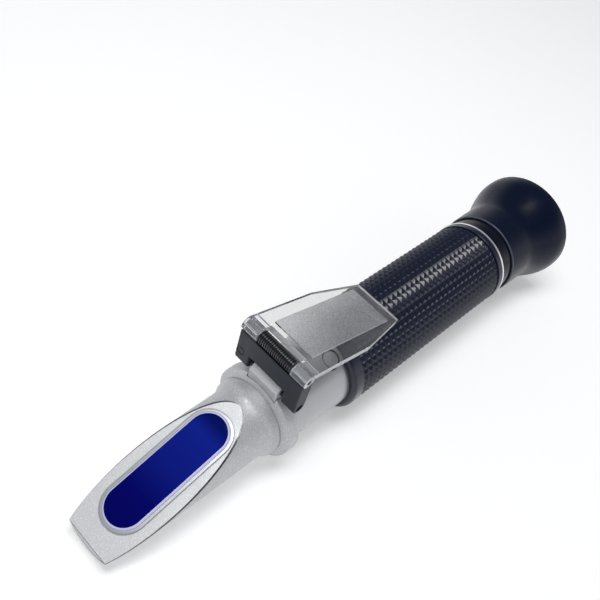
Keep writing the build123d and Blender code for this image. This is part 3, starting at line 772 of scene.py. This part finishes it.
def nose_ring(maker, x, radius, cut, edge):
    """A ring of the casting: round below, flat over the cut angle, with an edge of the given width.

    Near the face's top end the flat is narrow, and the edge takes only a share of its half width.
    """
    edge = min(edge, FACE_EDGE_SHARE * radius * sin(cut))
    first = cut + edge / radius
    angles = [first + 2 * (pi - first) * step / NOSE_SEGMENTS for step in range(NOSE_SEGMENTS + 1)]
    spots = [(radius * sin(angle), radius * cos(angle)) for angle in angles]
    inset = radius * sin(cut) - edge
    spots += [(-inset, radius * cos(cut)), (inset, radius * cos(cut))]
    return [maker.verts.new(Vector((x, y, z)) * MM) for y, z in spots]


def make_nose():
    """The cone with its flare, collar, lug and slanted face, built from rings between collar and tip."""
    x_flare = x_tip - FLARE_START
    bend = (FLARE_LENGTH ** 2 + FLARE_RISE ** 2) / (2 * FLARE_RISE)
    reach = asin(FLARE_LENGTH / bend)
    flare = [
        (x_flare - bend * sin(reach * part), NOSE_ROOT_RADIUS + bend * (1 - cos(reach * part)))
        for part in (1.0, 0.8, 0.6, 0.4, 0.2, 0.0)
    ]
    x_rim = x_collar_rear + COLLAR_WIDTH
    x_lip = x_rim + COLLAR_SLOPE
    outline = rounded([
        (x_collar_rear, 0),
        (x_collar_rear, COLLAR_RADIUS, COLLAR_REAR_EDGE),
        (x_rim, COLLAR_RADIUS, COLLAR_FRONT_EDGE),
        (x_lip, COLLAR_LIP_RADIUS + 0.1),
        (x_lip, COLLAR_LIP_RADIUS - LIP_GROOVE_DEPTH),
        (x_lip + LIP_GROOVE_WIDTH, COLLAR_LIP_RADIUS - LIP_GROOVE_DEPTH),
        (x_lip + LIP_GROOVE_WIDTH, COLLAR_LIP_RADIUS, 0.1),
        *flare,
    ])
    maker = bmesh.new()
    rings = [nose_ring(maker, x, radius, 0, 0) for x, radius in outline[1:]]
    taper = (NOSE_ROOT_RADIUS - NOSE_TIP_RADIUS) / FLARE_START
    tip_cut = acos(-TIP_FACE_DROP / NOSE_TIP_RADIUS)
    for step in range(FACE_STEPS):
        cut = tip_cut * step / FACE_STEPS
        back = (TIP_FACE_DROP + NOSE_TIP_RADIUS * cos(cut)) / (tan(FACE_SLOPE) - taper * cos(cut))
        if back > TIP_LEAN + 0.1:
            rings.append(nose_ring(maker, x_tip - back, cone_radius(x_tip - back), cut, FACE_EDGE))
    x_edge = x_tip - TIP_LEAN
    edge_cut = acos(face_height(x_edge) / cone_radius(x_edge))
    rings.append(nose_ring(maker, x_edge, cone_radius(x_edge), edge_cut, FACE_EDGE))
    end_radius = NOSE_TIP_RADIUS - TIP_EDGE
    end_cut = acos(-(TIP_FACE_DROP + TIP_EDGE) / end_radius)
    rings.append(nose_ring(maker, x_tip, end_radius, end_cut, FACE_EDGE))
    for first, second in zip(rings, rings[1:]):
        join_rings(maker, first, second)
    maker.faces.new(rings[0])
    maker.faces.new(rings[-1])
    nose = cleaned(maker, "nose_casting")
    add_lug(nose)
    x_behind = x_collar_rear - BEYOND
    x_bore_end = x_barrel_front + LIGHT_BORE_DEPTH
    hollow = turned("hollow", [
        (x_behind, 0), (x_behind, BARREL_RADIUS), (x_barrel_front, BARREL_RADIUS),
        (x_barrel_front, LIGHT_BORE_RADIUS), (x_bore_end, LIGHT_BORE_RADIUS), (x_bore_end, 0),
    ], segments=FINE_SEGMENTS)
    combine(nose, hollow)
    pocket = slot(PRISM_LENGTH + 2 * SEAL_WIDTH, PRISM_WIDTH + 2 * SEAL_WIDTH)
    pocket_floor = FACE_PLACE @ Matrix.Translation((0, 0, -PRISM_DEPTH))
    combine(nose, extruded("pocket", pocket, pocket_floor, 2 * PRISM_DEPTH))
    return smooth(nose, 20)


def add_lug(nose):
    """Adds the lug, with a fine gap round its foot, as it is let into the collar."""
    floor_radius = COLLAR_RADIUS - LUG_GAP_DEPTH
    foot = block(
        "foot",
        (link_pin.x - LUG_REAR - LUG_GAP, -LUG_HALF_WIDTH - LUG_GAP, 0),
        (link_pin.x + LUG_FRONT + LUG_GAP, LUG_HALF_WIDTH + LUG_GAP, BEYOND),
    )
    combine(foot, rod("core", OPTICAL_AXIS, floor_radius, x_collar_rear - BEYOND, x_tip, FINE_SEGMENTS))
    combine(nose, foot)
    root = LUG_ROOT - link_pin.z
    outline = [
        (-LUG_REAR, root), (LUG_FRONT, root), (LUG_FRONT, LUG_SLOPE_FOOT),
        (LUG_FRONT - LUG_SLOPE_LENGTH, LUG_TOP), (-LUG_REAR, LUG_TOP),
    ]
    lug = extruded("lug", outline, across(link_pin, LUG_HALF_WIDTH), 2 * LUG_HALF_WIDTH)
    soften(lug, LUG_EDGE)
    bore(lug, link_pin, LUG_BORE)
    combine(nose, lug, "UNION")


def nose_zone(centre, normal):
    """Slanted face and lug (1), the edges of the face and the tip, painted dark as shade (2), or the rest
    (0).
    """
    out = hypot(centre.y, centre.z)
    if normal.dot(FACE_OUT) > 0.999:
        return 1
    if centre.x > x_tip - TIP_LEAN:
        return 2 if centre.x < x_tip - SLACK else 0
    under = (FACE_ORIGIN - centre).dot(FACE_OUT)
    if 2 * SLACK < cone_radius(centre.x) - out < FACE_EDGE and 0 < under < FACE_EDGE:
        return 2
    in_outline = abs(centre.y) < LUG_HALF_WIDTH + SLACK and centre.x < link_pin.x + LUG_FRONT + SLACK
    return 1 if in_outline and centre.z > COLLAR_RADIUS - LUG_GAP_DEPTH + 0.1 else 0


dress(
    make_nose(), "housing",
    [cast_silver, face_silver, painted_shade_edge], ["prism_housing"], nose_zone,
)

# Prism window: polished top, lavender bevel and ground sides
prism_layers = [
    (0, -PRISM_DEPTH),
    (0, PRISM_PROUD - PRISM_BEVEL),
    (-PRISM_BEVEL, PRISM_PROUD),
]


def prism_zone(centre, normal):
    """Top (0), bevel (1) or side (2) of the prism window."""
    lean = normal.dot(FACE_OUT)
    if lean > 0.95:
        return 0
    return 1 if lean > 0.3 else 2


dress(
    slot_layers("prism_window", prism_layers, FACE_PLACE, closed=False),
    "housing", [blue_glass, bevel_glass, ground_glass], ["main_prism"], prism_zone,
)

# Its metal frame, with a fine inner edge and a rounded outer edge
seal_layers = [
    (SEAL_GAP, -PRISM_DEPTH),
    (SEAL_GAP, SEAL_PROUD - SEAL_EDGE / 2),
    (SEAL_GAP + SEAL_EDGE / 3, SEAL_PROUD),
    (SEAL_WIDTH - SEAL_EDGE, SEAL_PROUD),
    (SEAL_WIDTH - 0.27 * SEAL_EDGE, SEAL_PROUD - 0.4 * SEAL_EDGE),
    (SEAL_WIDTH, SEAL_PROUD - SEAL_EDGE),
    (SEAL_WIDTH, -PRISM_DEPTH),
]
dress(
    slot_layers("prism_frame", seal_layers, FACE_PLACE, closed=True),
    "housing", [seal_grey], ["prism_seal"],
)


# Barrel with the port, and the calibration screw in its bush

def make_barrel():
    """The tube with the hole of the calibration port."""
    inner_radius = BARREL_RADIUS - BARREL_WALL
    outline = rounded([
        (x_barrel_rear, inner_radius),
        (x_barrel_front, inner_radius),
        (x_barrel_front, BARREL_RADIUS, BARREL_EDGE),
        (x_barrel_rear, BARREL_RADIUS, BARREL_EDGE),
    ])
    barrel = turned("barrel_tube", outline, segments=FINE_SEGMENTS)
    combine(barrel, rod("port_hole", PORT_AXIS, PORT_RADIUS, SCREW_END, BEYOND, SMALL_SEGMENTS))
    return smooth(barrel)


dress(make_barrel(), "housing", [barrel_silver], ["barrel"])

# Painted shade: the bush is given the black plastic so that its ring round the screw head reads as the dark
# shade of a groove.
port_bush = turned("port_bush", rounded([
    (BUSH_FLOOR, BUSH_BORE), (BUSH_FLOOR, BUSH_RADIUS), (BUSH_TOP, BUSH_RADIUS, BUSH_EDGE),
    (BUSH_TOP, BUSH_WELL_RADIUS, BUSH_EDGE), (BUSH_SEAT, BUSH_WELL_RADIUS), (BUSH_SEAT, BUSH_BORE),
]), PORT_AXIS, SMALL_SEGMENTS)
dress(port_bush, "housing", [neck_plastic], ["calibration_bush"])


def make_screw():
    """The adjusting screw: a shank and a slightly domed head with its slot."""
    outline = rounded([
        (SCREW_END, 0), (SCREW_END, SCREW_RADIUS), (SCREW_HEAD_SEAT, SCREW_RADIUS),
        (SCREW_HEAD_SEAT, SCREW_HEAD_RADIUS), (SCREW_HEAD_TOP, SCREW_HEAD_RADIUS, 0.2), (SCREW_CROWN, 0),
    ])
    screw = turned("adjusting_screw", outline, PORT_AXIS, SMALL_SEGMENTS)
    half = SCREW_SLOT_HALF_WIDTH
    corners = [(-PORT_RADIUS, -half), (PORT_RADIUS, -half), (PORT_RADIUS, half), (-PORT_RADIUS, half)]
    turn = Matrix.Rotation(SCREW_SLOT_TURN, 4, "Z")
    lift = Matrix.Translation((0, 0, SCREW_SLOT_FLOOR))
    combine(screw, extruded("screw_slot", corners, PORT_AXIS @ turn @ lift, SCREW_RADIUS))
    return smooth(screw)


dress(make_screw(), "calibration_screw", [barrel_silver], ["calibration_screw"])


# Grip sleeve: rows of small pyramids between a front land and a narrow rear land

def make_grip():
    """The sleeve: a floor of cells with a low pyramid on each, and the two plain lands."""
    maker = bmesh.new()
    cell_segments = SEGMENTS // GRAIN_COLUMNS
    floor_radius = GRIP_RADIUS - GRAIN_DEPTH
    x_grain_front = x_grip_front - GRAIN_FRONT_LAND
    x_grain_rear = x_grain_front - GRAIN_ROWS * GRAIN_PITCH

    def ring(x, radius):
        """One ring of points round the optical axis."""
        points = []
        for step in range(SEGMENTS):
            angle = 2 * pi * (step + 0.5) / SEGMENTS
            points.append(maker.verts.new((x * MM, -radius * sin(angle) * MM, radius * cos(angle) * MM)))
        return points

    floors = [ring(x_grain_rear + row * GRAIN_PITCH, floor_radius) for row in range(GRAIN_ROWS + 1)]
    half_cell = pi / GRAIN_COLUMNS
    flat_angle = GRAIN_FLAT / 2 / GRIP_RADIUS
    for row in range(GRAIN_ROWS):
        middle = x_grain_rear + (row + 0.5) * GRAIN_PITCH
        for column in range(GRAIN_COLUMNS):
            first = column * cell_segments + 1
            spots = [(first + step) % SEGMENTS for step in range(cell_segments + 1)]
            low = [floors[row][spot] for spot in spots]
            high = [floors[row + 1][spot] for spot in spots]
            centre = 2 * pi * (first + 0.5) / SEGMENTS + half_cell
            top = []
            for x_side, turn_side in ((-1, -1), (-1, 1), (1, 1), (1, -1)):
                angle = centre + turn_side * flat_angle
                x = middle + x_side * GRAIN_FLAT / 2
                top.append(maker.verts.new((
                    x * MM, -GRIP_RADIUS * sin(angle) * MM, GRIP_RADIUS * cos(angle) * MM,
                )))
            maker.faces.new(top)
            for edge, left, right in ((low, top[0], top[1]), (high, top[3], top[2])):
                maker.faces.new((edge[0], edge[1], left))
                maker.faces.new((edge[1], edge[2], right, left))
                maker.faces.new((edge[2], edge[3], right))
            maker.faces.new((low[0], high[0], top[3], top[0]))
            maker.faces.new((low[-1], high[-1], top[2], top[1]))
    front_land = rounded([
        (x_grain_front, floor_radius),
        (x_grain_front, GRIP_RADIUS, LAND_EDGE),
        (x_grip_front, GRIP_RADIUS, GRIP_FRONT_ROUNDING),
        (x_grip_front, BARREL_RADIUS),
    ], 8)
    rear_land = rounded([
        (x_grip_rear, BARREL_RADIUS),
        (x_grip_rear, GRIP_RADIUS, GRIP_REAR_ROUNDING),
        (x_grain_rear, GRIP_RADIUS, LAND_EDGE),
        (x_grain_rear, floor_radius),
    ])
    rings = [floors[-1]]
    rings += [ring(x, radius) for x, radius in front_land[1:]]
    rings += [ring(x, radius) for x, radius in rear_land[:-1]]
    rings.append(floors[0])
    for first, second in zip(rings, rings[1:]):
        join_rings(maker, first, second)
    return smooth(finished(maker, "grip_grain"), 18)


dress(make_grip(), "housing", [grip_rubber], ["grip_sleeve"])

# Bright ring, a little wider than its solid: it laps over the rubber's rear edge
x_ring = rear_of("grip_end_ring")
x_lap = x_ring + RING_SHOWN
end_ring = turned("bright_end_ring", rounded([
    (x_ring, BARREL_RADIUS), (x_ring, RING_RADIUS, RING_EDGE), (x_lap, RING_RADIUS), (x_lap, GRIP_RADIUS),
    (x_grip_rear, GRIP_RADIUS), (x_grip_rear, BARREL_RADIUS),
]), segments=FINE_SEGMENTS)
dress(end_ring, "housing", [bright_metal], ["grip_end_ring"])

# Neck: the glossy black part of the eyepiece housing, and the thread under the focus ring
x_neck_rear = x_cup_front - NECK_OVERLAP
x_thread_rear = rear_of("eyepiece_housing")
x_spigot = front_of("eyepiece_housing")
neck = turned("eyepiece_neck", rounded([
    (x_thread_rear, SPIGOT_BORE), (x_spigot, SPIGOT_BORE), (x_spigot, SPIGOT_RADIUS, 0.2),
    (x_ring, SPIGOT_RADIUS), (x_ring, NECK_RADIUS, 0.25), (x_neck_rear, NECK_RADIUS, 0.3),
    (x_neck_rear, THREAD_RADIUS), (x_thread_rear, THREAD_RADIUS, 0.3),
]), segments=FINE_SEGMENTS)
dress(neck, "housing", [neck_plastic], ["eyepiece_housing"])


# Eyecup: a soft bell with a rolled rim

x_skirt = x_cup_front - SKIRT_SET_BACK


def make_eyecup():
    """The cup's section: skirt, swelling outside, rolled rim, hollow bell, and the seat of the focus ring."""
    x_ring_rear = rear_of("focus_ring")
    x_ring_front = front_of("focus_ring")
    outside = []
    steps = 18
    for step in range(steps + 1):
        part = step / steps
        swell = part * part * (3 - 2 * part)
        x = CUP_WAIST + (RIM_LAND - CUP_WAIST) * part
        outside.append((x, CUP_WAIST_RADIUS + (CUP_RIM_RADIUS - CUP_WAIST_RADIUS) * swell))
    rim = arc((RIM_ROUNDING, CUP_RIM_RADIUS - RIM_ROUNDING), RIM_ROUNDING, 90, 270, 12)
    mouth = CUP_RIM_RADIUS - 2 * RIM_ROUNDING
    narrowing = mouth - BELL_FLOOR_RADIUS
    bend = (BELL_DEPTH ** 2 + narrowing ** 2) / (2 * narrowing)
    reach = asin((BELL_DEPTH - RIM_ROUNDING) / bend)
    bell_steps = 14
    inside = []
    for step in range(1, bell_steps + 1):
        angle = reach * step / bell_steps
        inside.append((RIM_ROUNDING + bend * sin(angle), mouth - bend * (1 - cos(angle))))
    front = rounded([
        (x_ring_front, CUP_SKIRT_RADIUS),
        (x_skirt, CUP_SKIRT_RADIUS, SKIRT_INNER_EDGE),
        (x_skirt, CUP_FRONT_RADIUS, SKIRT_EDGE),
        (CUP_WAIST, CUP_WAIST_RADIUS),
    ])
    back = [
        (BELL_DEPTH, BELL_APERTURE), (x_ring_rear, BELL_APERTURE),
        (x_ring_rear, FOCUS_RING_RADIUS), (x_ring_front, FOCUS_RING_RADIUS),
    ]
    return turned("soft_eyecup", front[:-1] + outside + rim + inside + back, segments=CUP_SEGMENTS)


def cup_zone(centre, normal):
    """The skirt's front edge (1) is painted lighter than the rest (0), as a highlight where its rounding
    catches the light.
    """
    at_front = centre.x > x_skirt - 0.3
    return 1 if at_front and hypot(centre.y, centre.z) > CUP_SKIRT_RADIUS + 0.2 else 0


dress(make_eyecup(), "eyepiece_turn", [cup_rubber, painted_highlight_rubber], ["eyecup"], cup_zone)


# Hinge link: legs and bar, with a ribbed knuckle between the plate's ears

def make_link():
    """Two legs and a bar, rounded, with the ribbed knuckle standing on them."""
    side = arc((0, 0), LINK_HALF_THICKNESS, 180, 360, 16)
    side += [(LINK_HALF_THICKNESS, LINK_SHOULDER), (-LINK_HALF_THICKNESS, LINK_SHOULDER)]
    link = extruded("hinge_arm", side, across(link_pin, LINK_HALF_WIDTH), 2 * LINK_HALF_WIDTH)
    notch_low = (link_pin.x - BEYOND, -NOTCH_HALF_WIDTH, link_pin.z - BEYOND)
    notch_high = (link_pin.x + BEYOND, NOTCH_HALF_WIDTH, link_pin.z + NOTCH_RISE)
    combine(link, block("notch", notch_low, notch_high))
    soften(link, LINK_EDGE)
    bore(link, plate_pin, EAR_RADIUS + EAR_CLEARANCE, SMALL_SEGMENTS)
    bore(link, link_pin, LINK_PIN_BORE)
    mark_middle = Vector((link_pin.x + LINK_HALF_THICKNESS, -MARK_OFFSET, link_pin.z + MARK_RISE))
    mark_outline = [
        (-MARK_DEPTH, MARK_RADIUS - MARK_WIDTH), (-MARK_DEPTH, MARK_RADIUS),
        (MARK_WIDTH, MARK_RADIUS), (MARK_WIDTH, MARK_RADIUS - MARK_WIDTH),
    ]
    mark_axis = Matrix.Translation(mark_middle) @ OPTICAL_AXIS
    combine(link, turned("mark", mark_outline, mark_axis, PIN_SEGMENTS))
    core_radius = KNUCKLE_RADIUS - RIB_DEPTH
    root = core_radius - 0.1
    root_half = KNUCKLE_HALF_WIDTH - 0.05
    root_foot = (NOTCH_RISE + LINK_SHOULDER) / 2
    root_outline = [(-root, root_foot), (root, root_foot), (root, LINK_LENGTH), (-root, LINK_LENGTH)]
    combine(link, extruded("root", root_outline, across(link_pin, root_half), 2 * root_half), "UNION")
    ribs = [(0, 0)]
    rib_pitch = 2 * KNUCKLE_HALF_WIDTH / RIB_COUNT
    for rib in range(RIB_COUNT):
        start = rib * rib_pitch
        ribs += [
            (start + 0.1 * rib_pitch, core_radius), (start + 0.28 * rib_pitch, KNUCKLE_RADIUS),
            (start + 0.72 * rib_pitch, KNUCKLE_RADIUS), (start + 0.9 * rib_pitch, core_radius),
        ]
    ribs[1] = (0, core_radius)
    ribs[-1] = (2 * KNUCKLE_HALF_WIDTH, core_radius)
    ribs.append((2 * KNUCKLE_HALF_WIDTH, 0))
    combine(link, turned("ribs", ribs, across(plate_pin, KNUCKLE_HALF_WIDTH), PIN_SEGMENTS), "UNION")
    bore(link, plate_pin, PLATE_PIN_BORE)
    return smooth(link, 35)


def link_zone(centre, normal):
    """The knuckle (1) is glossier than the legs and the bar (0)."""
    near = hypot(centre.x - plate_pin.x, centre.z - plate_pin.z) < KNUCKLE_RADIUS + SLACK
    return 1 if near and abs(centre.y) < KNUCKLE_HALF_WIDTH + SLACK else 0


dress(make_link(), "hinge_link", [link_plastic, knuckle_plastic], ["hinge_link"], link_zone)


# Daylight plate: clear, with sawn edges and a raised frosted pad

def plate_layer(name, corners, low, high):
    """A solid from an outline seen from above the plate, between two heights over the plate's pin."""
    floor = PLATE_PLACE @ Matrix.Translation((0, 0, low))
    return extruded(name, rounded(corners), floor, high - low)


def make_plate():
    """The plate with its ears, the notch between them, a fine groove and the raised pad."""
    top = EAR_RADIUS
    low_angle = degrees(asin(underside / EAR_RADIUS))
    side = arc((0, 0), EAR_RADIUS, low_angle, -270, EAR_FACETS)
    side += rounded([
        (0, top),
        (PLATE_LENGTH, top, PLATE_EDGE),
        (PLATE_LENGTH, underside, PLATE_EDGE),
        (EAR_RADIUS, underside),
    ])[1:-1]
    side_place = PLATE_PLACE @ plane_at((0, PLATE_HALF_WIDTH, 0), (1, 0, 0), (0, -1, 0))
    plate = extruded("clear_plate", side, side_place, 2 * PLATE_HALF_WIDTH)
    reach = PLATE_TOOL_REACH
    outline = [
        (-reach, -PLATE_HALF_WIDTH),
        (0, -PLATE_HALF_WIDTH),
        (PLATE_KNEE, -PLATE_KNEE_HALF_WIDTH, PLATE_KNEE_ROUNDING),
        (PLATE_LENGTH, -PLATE_TIP_HALF_WIDTH, PLATE_TIP_ROUNDING),
        (PLATE_LENGTH, PLATE_TIP_HALF_WIDTH, PLATE_TIP_ROUNDING),
        (PLATE_KNEE, PLATE_KNEE_HALF_WIDTH, PLATE_KNEE_ROUNDING),
        (0, PLATE_HALF_WIDTH),
        (-reach, PLATE_HALF_WIDTH),
    ]
    combine(plate, plate_layer("outline", outline, PLATE_TOOL_FLOOR, reach), "INTERSECT")
    half_notch = KNUCKLE_HALF_WIDTH + HINGE_SIDE_GAP
    notch = [
        (-reach, -half_notch), (PLATE_NOTCH, -half_notch, SMALL_CORNER),
        (PLATE_NOTCH, half_notch, SMALL_CORNER), (-reach, half_notch),
    ]
    combine(plate, plate_layer("notch", notch, PLATE_TOOL_FLOOR, reach))
    bore(plate, plate_pin, PLATE_BORE)
    soften(plate, PLATE_ARRIS, angle=40, steps=2)
    rear = EAR_RADIUS + GROOVE_REAR
    front = rear + GROOVE_WIDTH
    half = PLATE_TOOL_HALF_WIDTH
    groove = [(rear, -half), (front, -half), (front, half), (rear, half)]
    combine(plate, plate_layer("groove", groove, top - GROOVE_DEPTH, top + 1))
    pad = [
        (PAD_START, -PAD_HALF_WIDTH, SMALL_CORNER),
        (PAD_END, -PAD_HALF_WIDTH, SMALL_CORNER),
        (PAD_END, PAD_HALF_WIDTH, SMALL_CORNER),
        (PAD_START, PAD_HALF_WIDTH, SMALL_CORNER),
    ]
    combine(plate, plate_layer("pad", pad, top - PAD_ROOT, top + PAD_HEIGHT), "UNION")
    return smooth(plate, 20)


to_plate = PLATE_PLACE.inverted()


def plate_zone(centre, normal):
    """Frosted pad (1), ears (3), sawn edges (2) or clear faces and bores (0)."""
    local = to_plate @ centre
    lean = to_plate.to_3x3() @ normal
    along_pad = PAD_START - SLACK < local.x < PAD_END + SLACK
    on_pad = along_pad and abs(local.y) < PAD_HALF_WIDTH - SLACK
    if on_pad and local.z > EAR_RADIUS + PAD_HEIGHT - 2 * SLACK:
        return 1
    if local.x < EAR_RADIUS + 2 * SLACK and hypot(local.x, local.z) > PLATE_BORE + EAR_CLEARANCE:
        return 3
    return 2 if abs(lean.z) < 0.2 and not on_pad else 0


dress(
    make_plate(), "daylight_plate",
    [clear_acrylic, frosted_acrylic, sawn_acrylic, ear_acrylic], ["daylight_plate"], plate_zone,
)

# Finishes of the CAD nodes that stay as they are
kept_finishes = (
    # Painted shade: the link pin takes the black finish so that its ends, seen in the gaps beside the lug,
    # read as the dark shade there.
    (black_anodised, ("link_pin", "lens_cell", "reticle_cell", "reticle_ring")),
    (black_anodised, ("lens_spacer", "lens_retainer", "eyepiece_tube", "focus_ring")),
    (pin_steel, ("plate_pin", "guide_pin")),
    (screw_steel, ("screw_clip", "strip_screws")),
    (turned_brass, ("carrier_block", "retaining_ring")),
    (strip_metal, ("bimetal_strip",)),
    (lens_glass, ("objective_lens", "reticle", "field_lens", "eye_lens")),
)
for material, names in kept_finishes:
    for name in names:
        nodes[name].data.materials.clear()
        nodes[name].data.materials.append(material)


# Camera, fitted to the photograph
CAMERA_PLACE = Vector((254.3, 70.6, 199.0))
CAMERA_AHEAD = Vector((-0.570, -0.349, -0.744))
CAMERA_RIGHT = Vector((-0.697, 0.685, 0.212))
FOCAL_LENGTH = 809.7
IMAGE_SIZE = 600
SENSOR_WIDTH = 36


def make_camera():
    """The camera, with its focal length given in pixels of the image."""
    data = bpy.data.cameras.new("camera")
    camera = bpy.data.objects.new("camera", data)
    bpy.context.scene.collection.objects.link(camera)
    data.sensor_width = SENSOR_WIDTH
    data.lens = FOCAL_LENGTH / IMAGE_SIZE * SENSOR_WIDTH
    data.clip_start = 0.01
    back = -CAMERA_AHEAD.normalized()
    right = (CAMERA_RIGHT - CAMERA_RIGHT.dot(back) * back).normalized()
    turn = Matrix((right, back.cross(right), back)).transposed().to_4x4()
    camera.matrix_world = Matrix.Translation(CAMERA_PLACE * MM) @ turn
    bpy.context.scene.camera = camera


# Floor: it touches the eyecup's rim and the collar's front edge
FLOOR_HALF_SIZE = 3000.0
FLOOR_GAP = 0.02
FLOOR_GLOW = 0.32


def make_floor():
    """A wide white floor with a soft glow of its own, so that it renders white round the shadow."""
    collar_edge = x_collar_rear + COLLAR_WIDTH - COLLAR_REST
    tilt = atan2(CUP_RIM_RADIUS - COLLAR_RADIUS, collar_edge - RIM_ROUNDING)
    along = Vector((cos(tilt), 0, sin(tilt)))
    up = Vector((-sin(tilt), 0, cos(tilt)))
    place = plane_at(Vector((RIM_ROUNDING, 0, -CUP_RIM_RADIUS)) - FLOOR_GAP * up, along, up)
    maker = bmesh.new()
    side = FLOOR_HALF_SIZE
    corners = [(-side, -side), (side, -side), (side, side), (-side, side)]
    maker.faces.new([maker.verts.new((place @ Vector((x, y, 0))) * MM) for x, y in corners])
    floor = finished(maker, "floor")
    material, tree, shader = new_material("floor_white", Roughness=0.9, Specular_IOR_Level=0.2)
    drift = use_group(tree, uneven_group, Scale=3.0, Low=0.0, High=1.0)
    colour = mix_colours(tree, drift.outputs["Value"], (0.83, 0.83, 0.83), (0.85, 0.85, 0.85))
    tree.links.new(colour, shader.inputs["Base Color"])
    seen = add_node(tree, "ShaderNodeLightPath")
    glow = add_node(tree, "ShaderNodeEmission", {"Color": (1, 1, 1, 1)})
    rays = seen.outputs["Is Camera Ray"]
    for kind in ("Is Glossy Ray", "Is Transmission Ray"):
        both = add_node(tree, "ShaderNodeMath", {0: rays, 1: seen.outputs[kind]}, operation="MAXIMUM")
        rays = both.outputs[0]
    strength = add_node(tree, "ShaderNodeMath", {0: rays, 1: FLOOR_GLOW}, operation="MULTIPLY")
    tree.links.new(strength.outputs[0], glow.inputs["Strength"])
    lit = add_node(tree, "ShaderNodeAddShader", {0: shader.outputs["BSDF"], 1: glow.outputs["Emission"]})
    tree.links.new(lit.outputs[0], tree.nodes["Material Output"].inputs["Surface"])
    floor.data.materials.append(material)


def make_world():
    """A studio that is white at the horizon and dimmer overhead."""
    world = bpy.data.worlds.new("studio")
    world.use_nodes = True
    bpy.context.scene.world = world
    tree = world.node_tree
    spot = add_node(tree, "ShaderNodeTexCoord").outputs["Generated"]
    parts = add_node(tree, "ShaderNodeSeparateXYZ", {"Vector": spot})
    height = add_node(
        tree,
        "ShaderNodeMapRange",
        {"Value": parts.outputs["Z"], "From Min": 0.05, "From Max": 0.65},
        interpolation_type="SMOOTHSTEP",
    )
    colour = mix_colours(tree, height.outputs["Result"], (1.0, 1.0, 1.0), (0.17, 0.18, 0.21))
    tree.links.new(colour, tree.nodes["Background"].inputs["Color"])


def make_lamp(name, place, aim, size, power):
    """An area lamp at a place in millimetres, aimed at another, with its size in millimetres."""
    data = bpy.data.lights.new(name, "AREA")
    data.shape = "RECTANGLE"
    data.size = size[0] * MM
    data.size_y = size[1] * MM
    data.energy = power
    lamp = bpy.data.objects.new(name, data)
    lamp.visible_transmission = False
    bpy.context.scene.collection.objects.link(lamp)
    lamp.location = Vector(place) * MM
    lamp.rotation_mode = "QUATERNION"
    lamp.rotation_quaternion = (Vector(aim) - Vector(place)).to_track_quat("-Z", "Y")


make_camera()
make_floor()
make_world()
make_lamp("overhead_box", place=(155, -20, 640), aim=(120, 0, 0), size=(240, 430), power=2.7)

bpy.context.scene.view_settings.view_transform = "Standard"
